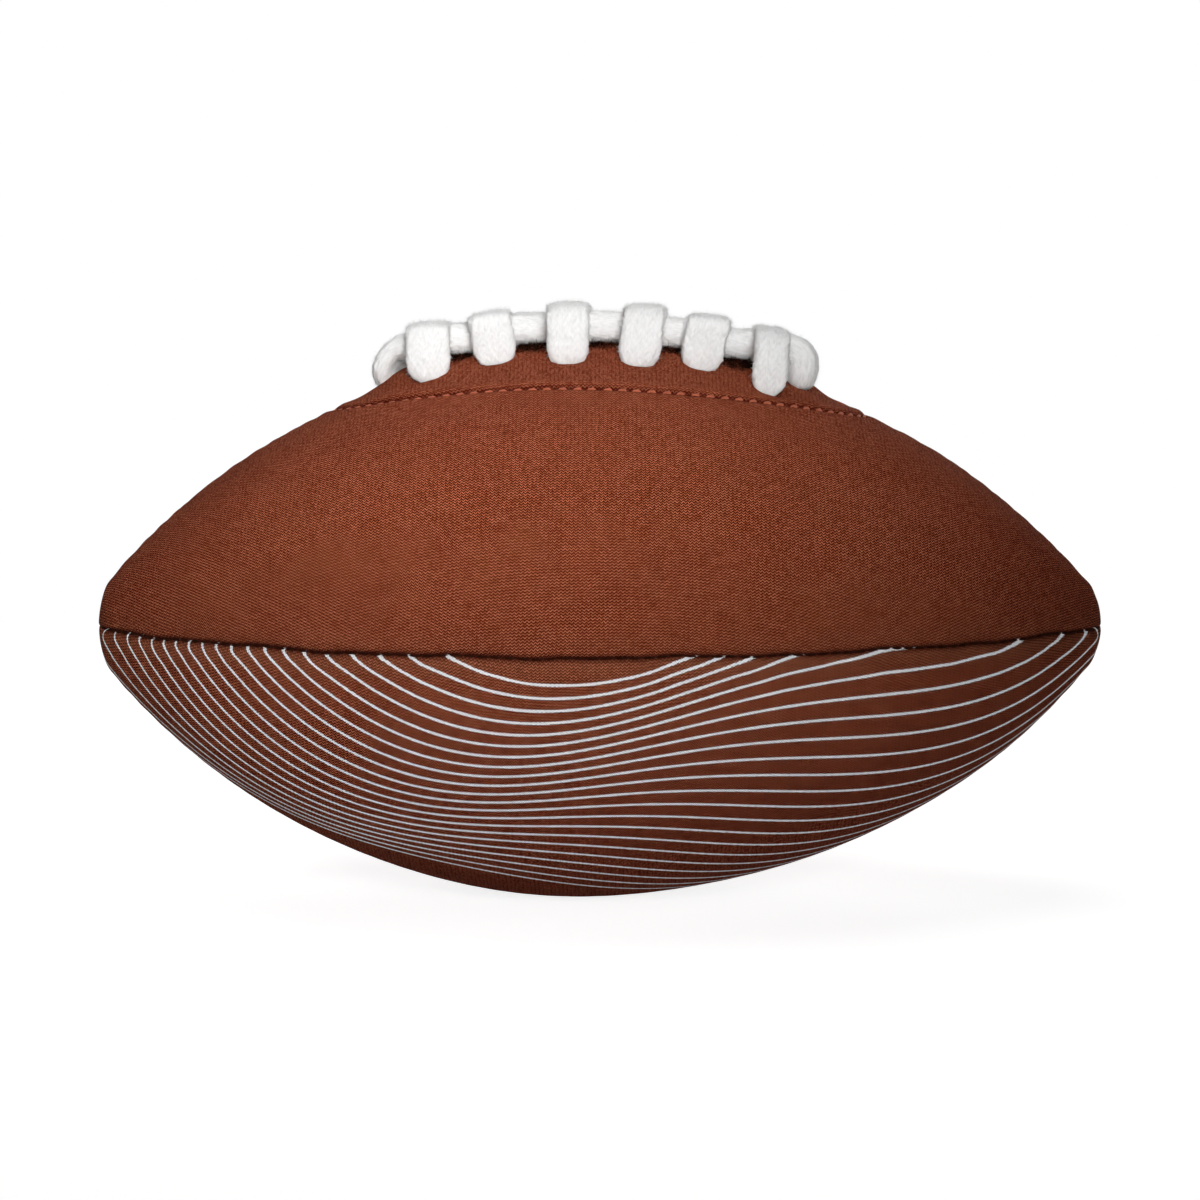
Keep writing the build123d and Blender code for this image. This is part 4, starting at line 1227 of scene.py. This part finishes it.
# the key lamp's narrow spread makes its light fall off towards the ball's ends
lamps = [
    {"name": "keyLamp", "place": (0.022, -0.47, 0.233), "size": 0.24, "power": 0.22, "spread": 40.0,
     "target": (-0.048, 0, 0.153)},
    {"name": "fillLamp", "place": (0.9, -0.7, 0.35), "size": 0.9, "power": 0.01},
    {"name": "topLamp", "place": (-0.1, 0.1, 1.1), "size": 0.8, "power": 2.7},
    {"name": "backLamp", "place": (0.15, 0.95, 0.3), "size": 0.7, "power": 2.4},
]


# 1 for what the camera sees, straight or in a shiny or clear surface
def seenRay(tree, path):
    seen = sums(tree, "MAXIMUM", path.outputs["Is Camera Ray"], path.outputs["Is Glossy Ray"])
    return sums(tree, "MAXIMUM", seen, path.outputs["Is Transmission Ray"])


def makeFloor():
    bpy.ops.object.select_all(action="DESELECT")
    bpy.ops.mesh.primitive_plane_add(size=30, location=(0, 0, 0))
    floor = bpy.context.active_object
    floor.name = "floor"
    material, tree, shader = newMaterial("paleFloor")
    setInputs(tree, shader, Base_Color=studio["floorTone"], Roughness=0.9, Specular_IOR_Level=0.0)
    path = node(tree, "ShaderNodeLightPath")
    glow = node(tree, "ShaderNodeEmission", Strength=studio["floorGlow"])
    white = node(tree, "ShaderNodeEmission", Strength=1.0)
    lit = node(tree, "ShaderNodeAddShader", i0=shader.outputs[0], i1=glow.outputs[0])
    far = step(tree, vectorSums(tree, "LENGTH", i0=objectPlace(tree))["Value"], *studio["floorFar"])
    shown = node(tree, "ShaderNodeMixShader", i0=far, i1=lit.outputs[0], i2=white.outputs[0])
    seen = seenRay(tree, path)
    both = node(tree, "ShaderNodeMixShader", i0=seen, i1=shader.outputs[0], i2=shown.outputs[0])
    setInputs(tree, tree.nodes["Material Output"], Surface=both.outputs[0])
    floor.data.materials.append(material)


def makeWorld():
    world = bpy.data.worlds.new("studio")
    bpy.context.scene.world = world
    world.use_nodes = True
    tree = world.node_tree
    soft = tree.nodes["Background"]
    setInputs(tree, soft, Color=(1, 1, 1, 1), Strength=studio["ambient"])
    white = node(tree, "ShaderNodeBackground", Color=(1, 1, 1, 1), Strength=1.0)
    seen = seenRay(tree, node(tree, "ShaderNodeLightPath"))
    mix = node(tree, "ShaderNodeMixShader", i0=seen, i1=soft.outputs[0], i2=white.outputs[0])
    setInputs(tree, tree.nodes["World Output"], Surface=mix.outputs[0])


def softLamp(name, place, size, power, spread=180.0, target=studio["middle"]):
    light = bpy.data.lights.new(name, "AREA")
    light.shape = "DISK"
    light.size = size
    light.energy = power
    light.spread = math.radians(spread)
    lamp = bpy.data.objects.new(name, light)
    bpy.context.scene.collection.objects.link(lamp)
    lamp.location = place
    lamp.visible_camera = False
    aim = Vector(target) - Vector(place)
    lamp.rotation_euler = aim.to_track_quat("-Z", "Y").to_euler()


def makeCamera():
    data = bpy.data.cameras.new("camera")
    data.sensor_width = studio["sensor"]
    data.lens = studio["sensor"] * studio["distance"] / studio["frameWidth"]
    data.clip_start = 0.01
    camera = bpy.data.objects.new("camera", data)
    bpy.context.scene.collection.objects.link(camera)
    rise = math.radians(studio["elevation"])
    away = Vector((0, -math.cos(rise), math.sin(rise)))
    up = Vector((0, math.sin(rise), math.cos(rise)))
    camera.location = Vector(studio["middle"]) + away * studio["distance"] + up * studio["ballDrop"]
    camera.rotation_euler = (-away).to_track_quat("-Z", "Y").to_euler()
    bpy.context.scene.camera = camera


makeFloor()
makeWorld()
for lamp in lamps:
    softLamp(**lamp)
makeCamera()
bpy.context.scene.view_settings.view_transform = "Standard"
print("stage set")
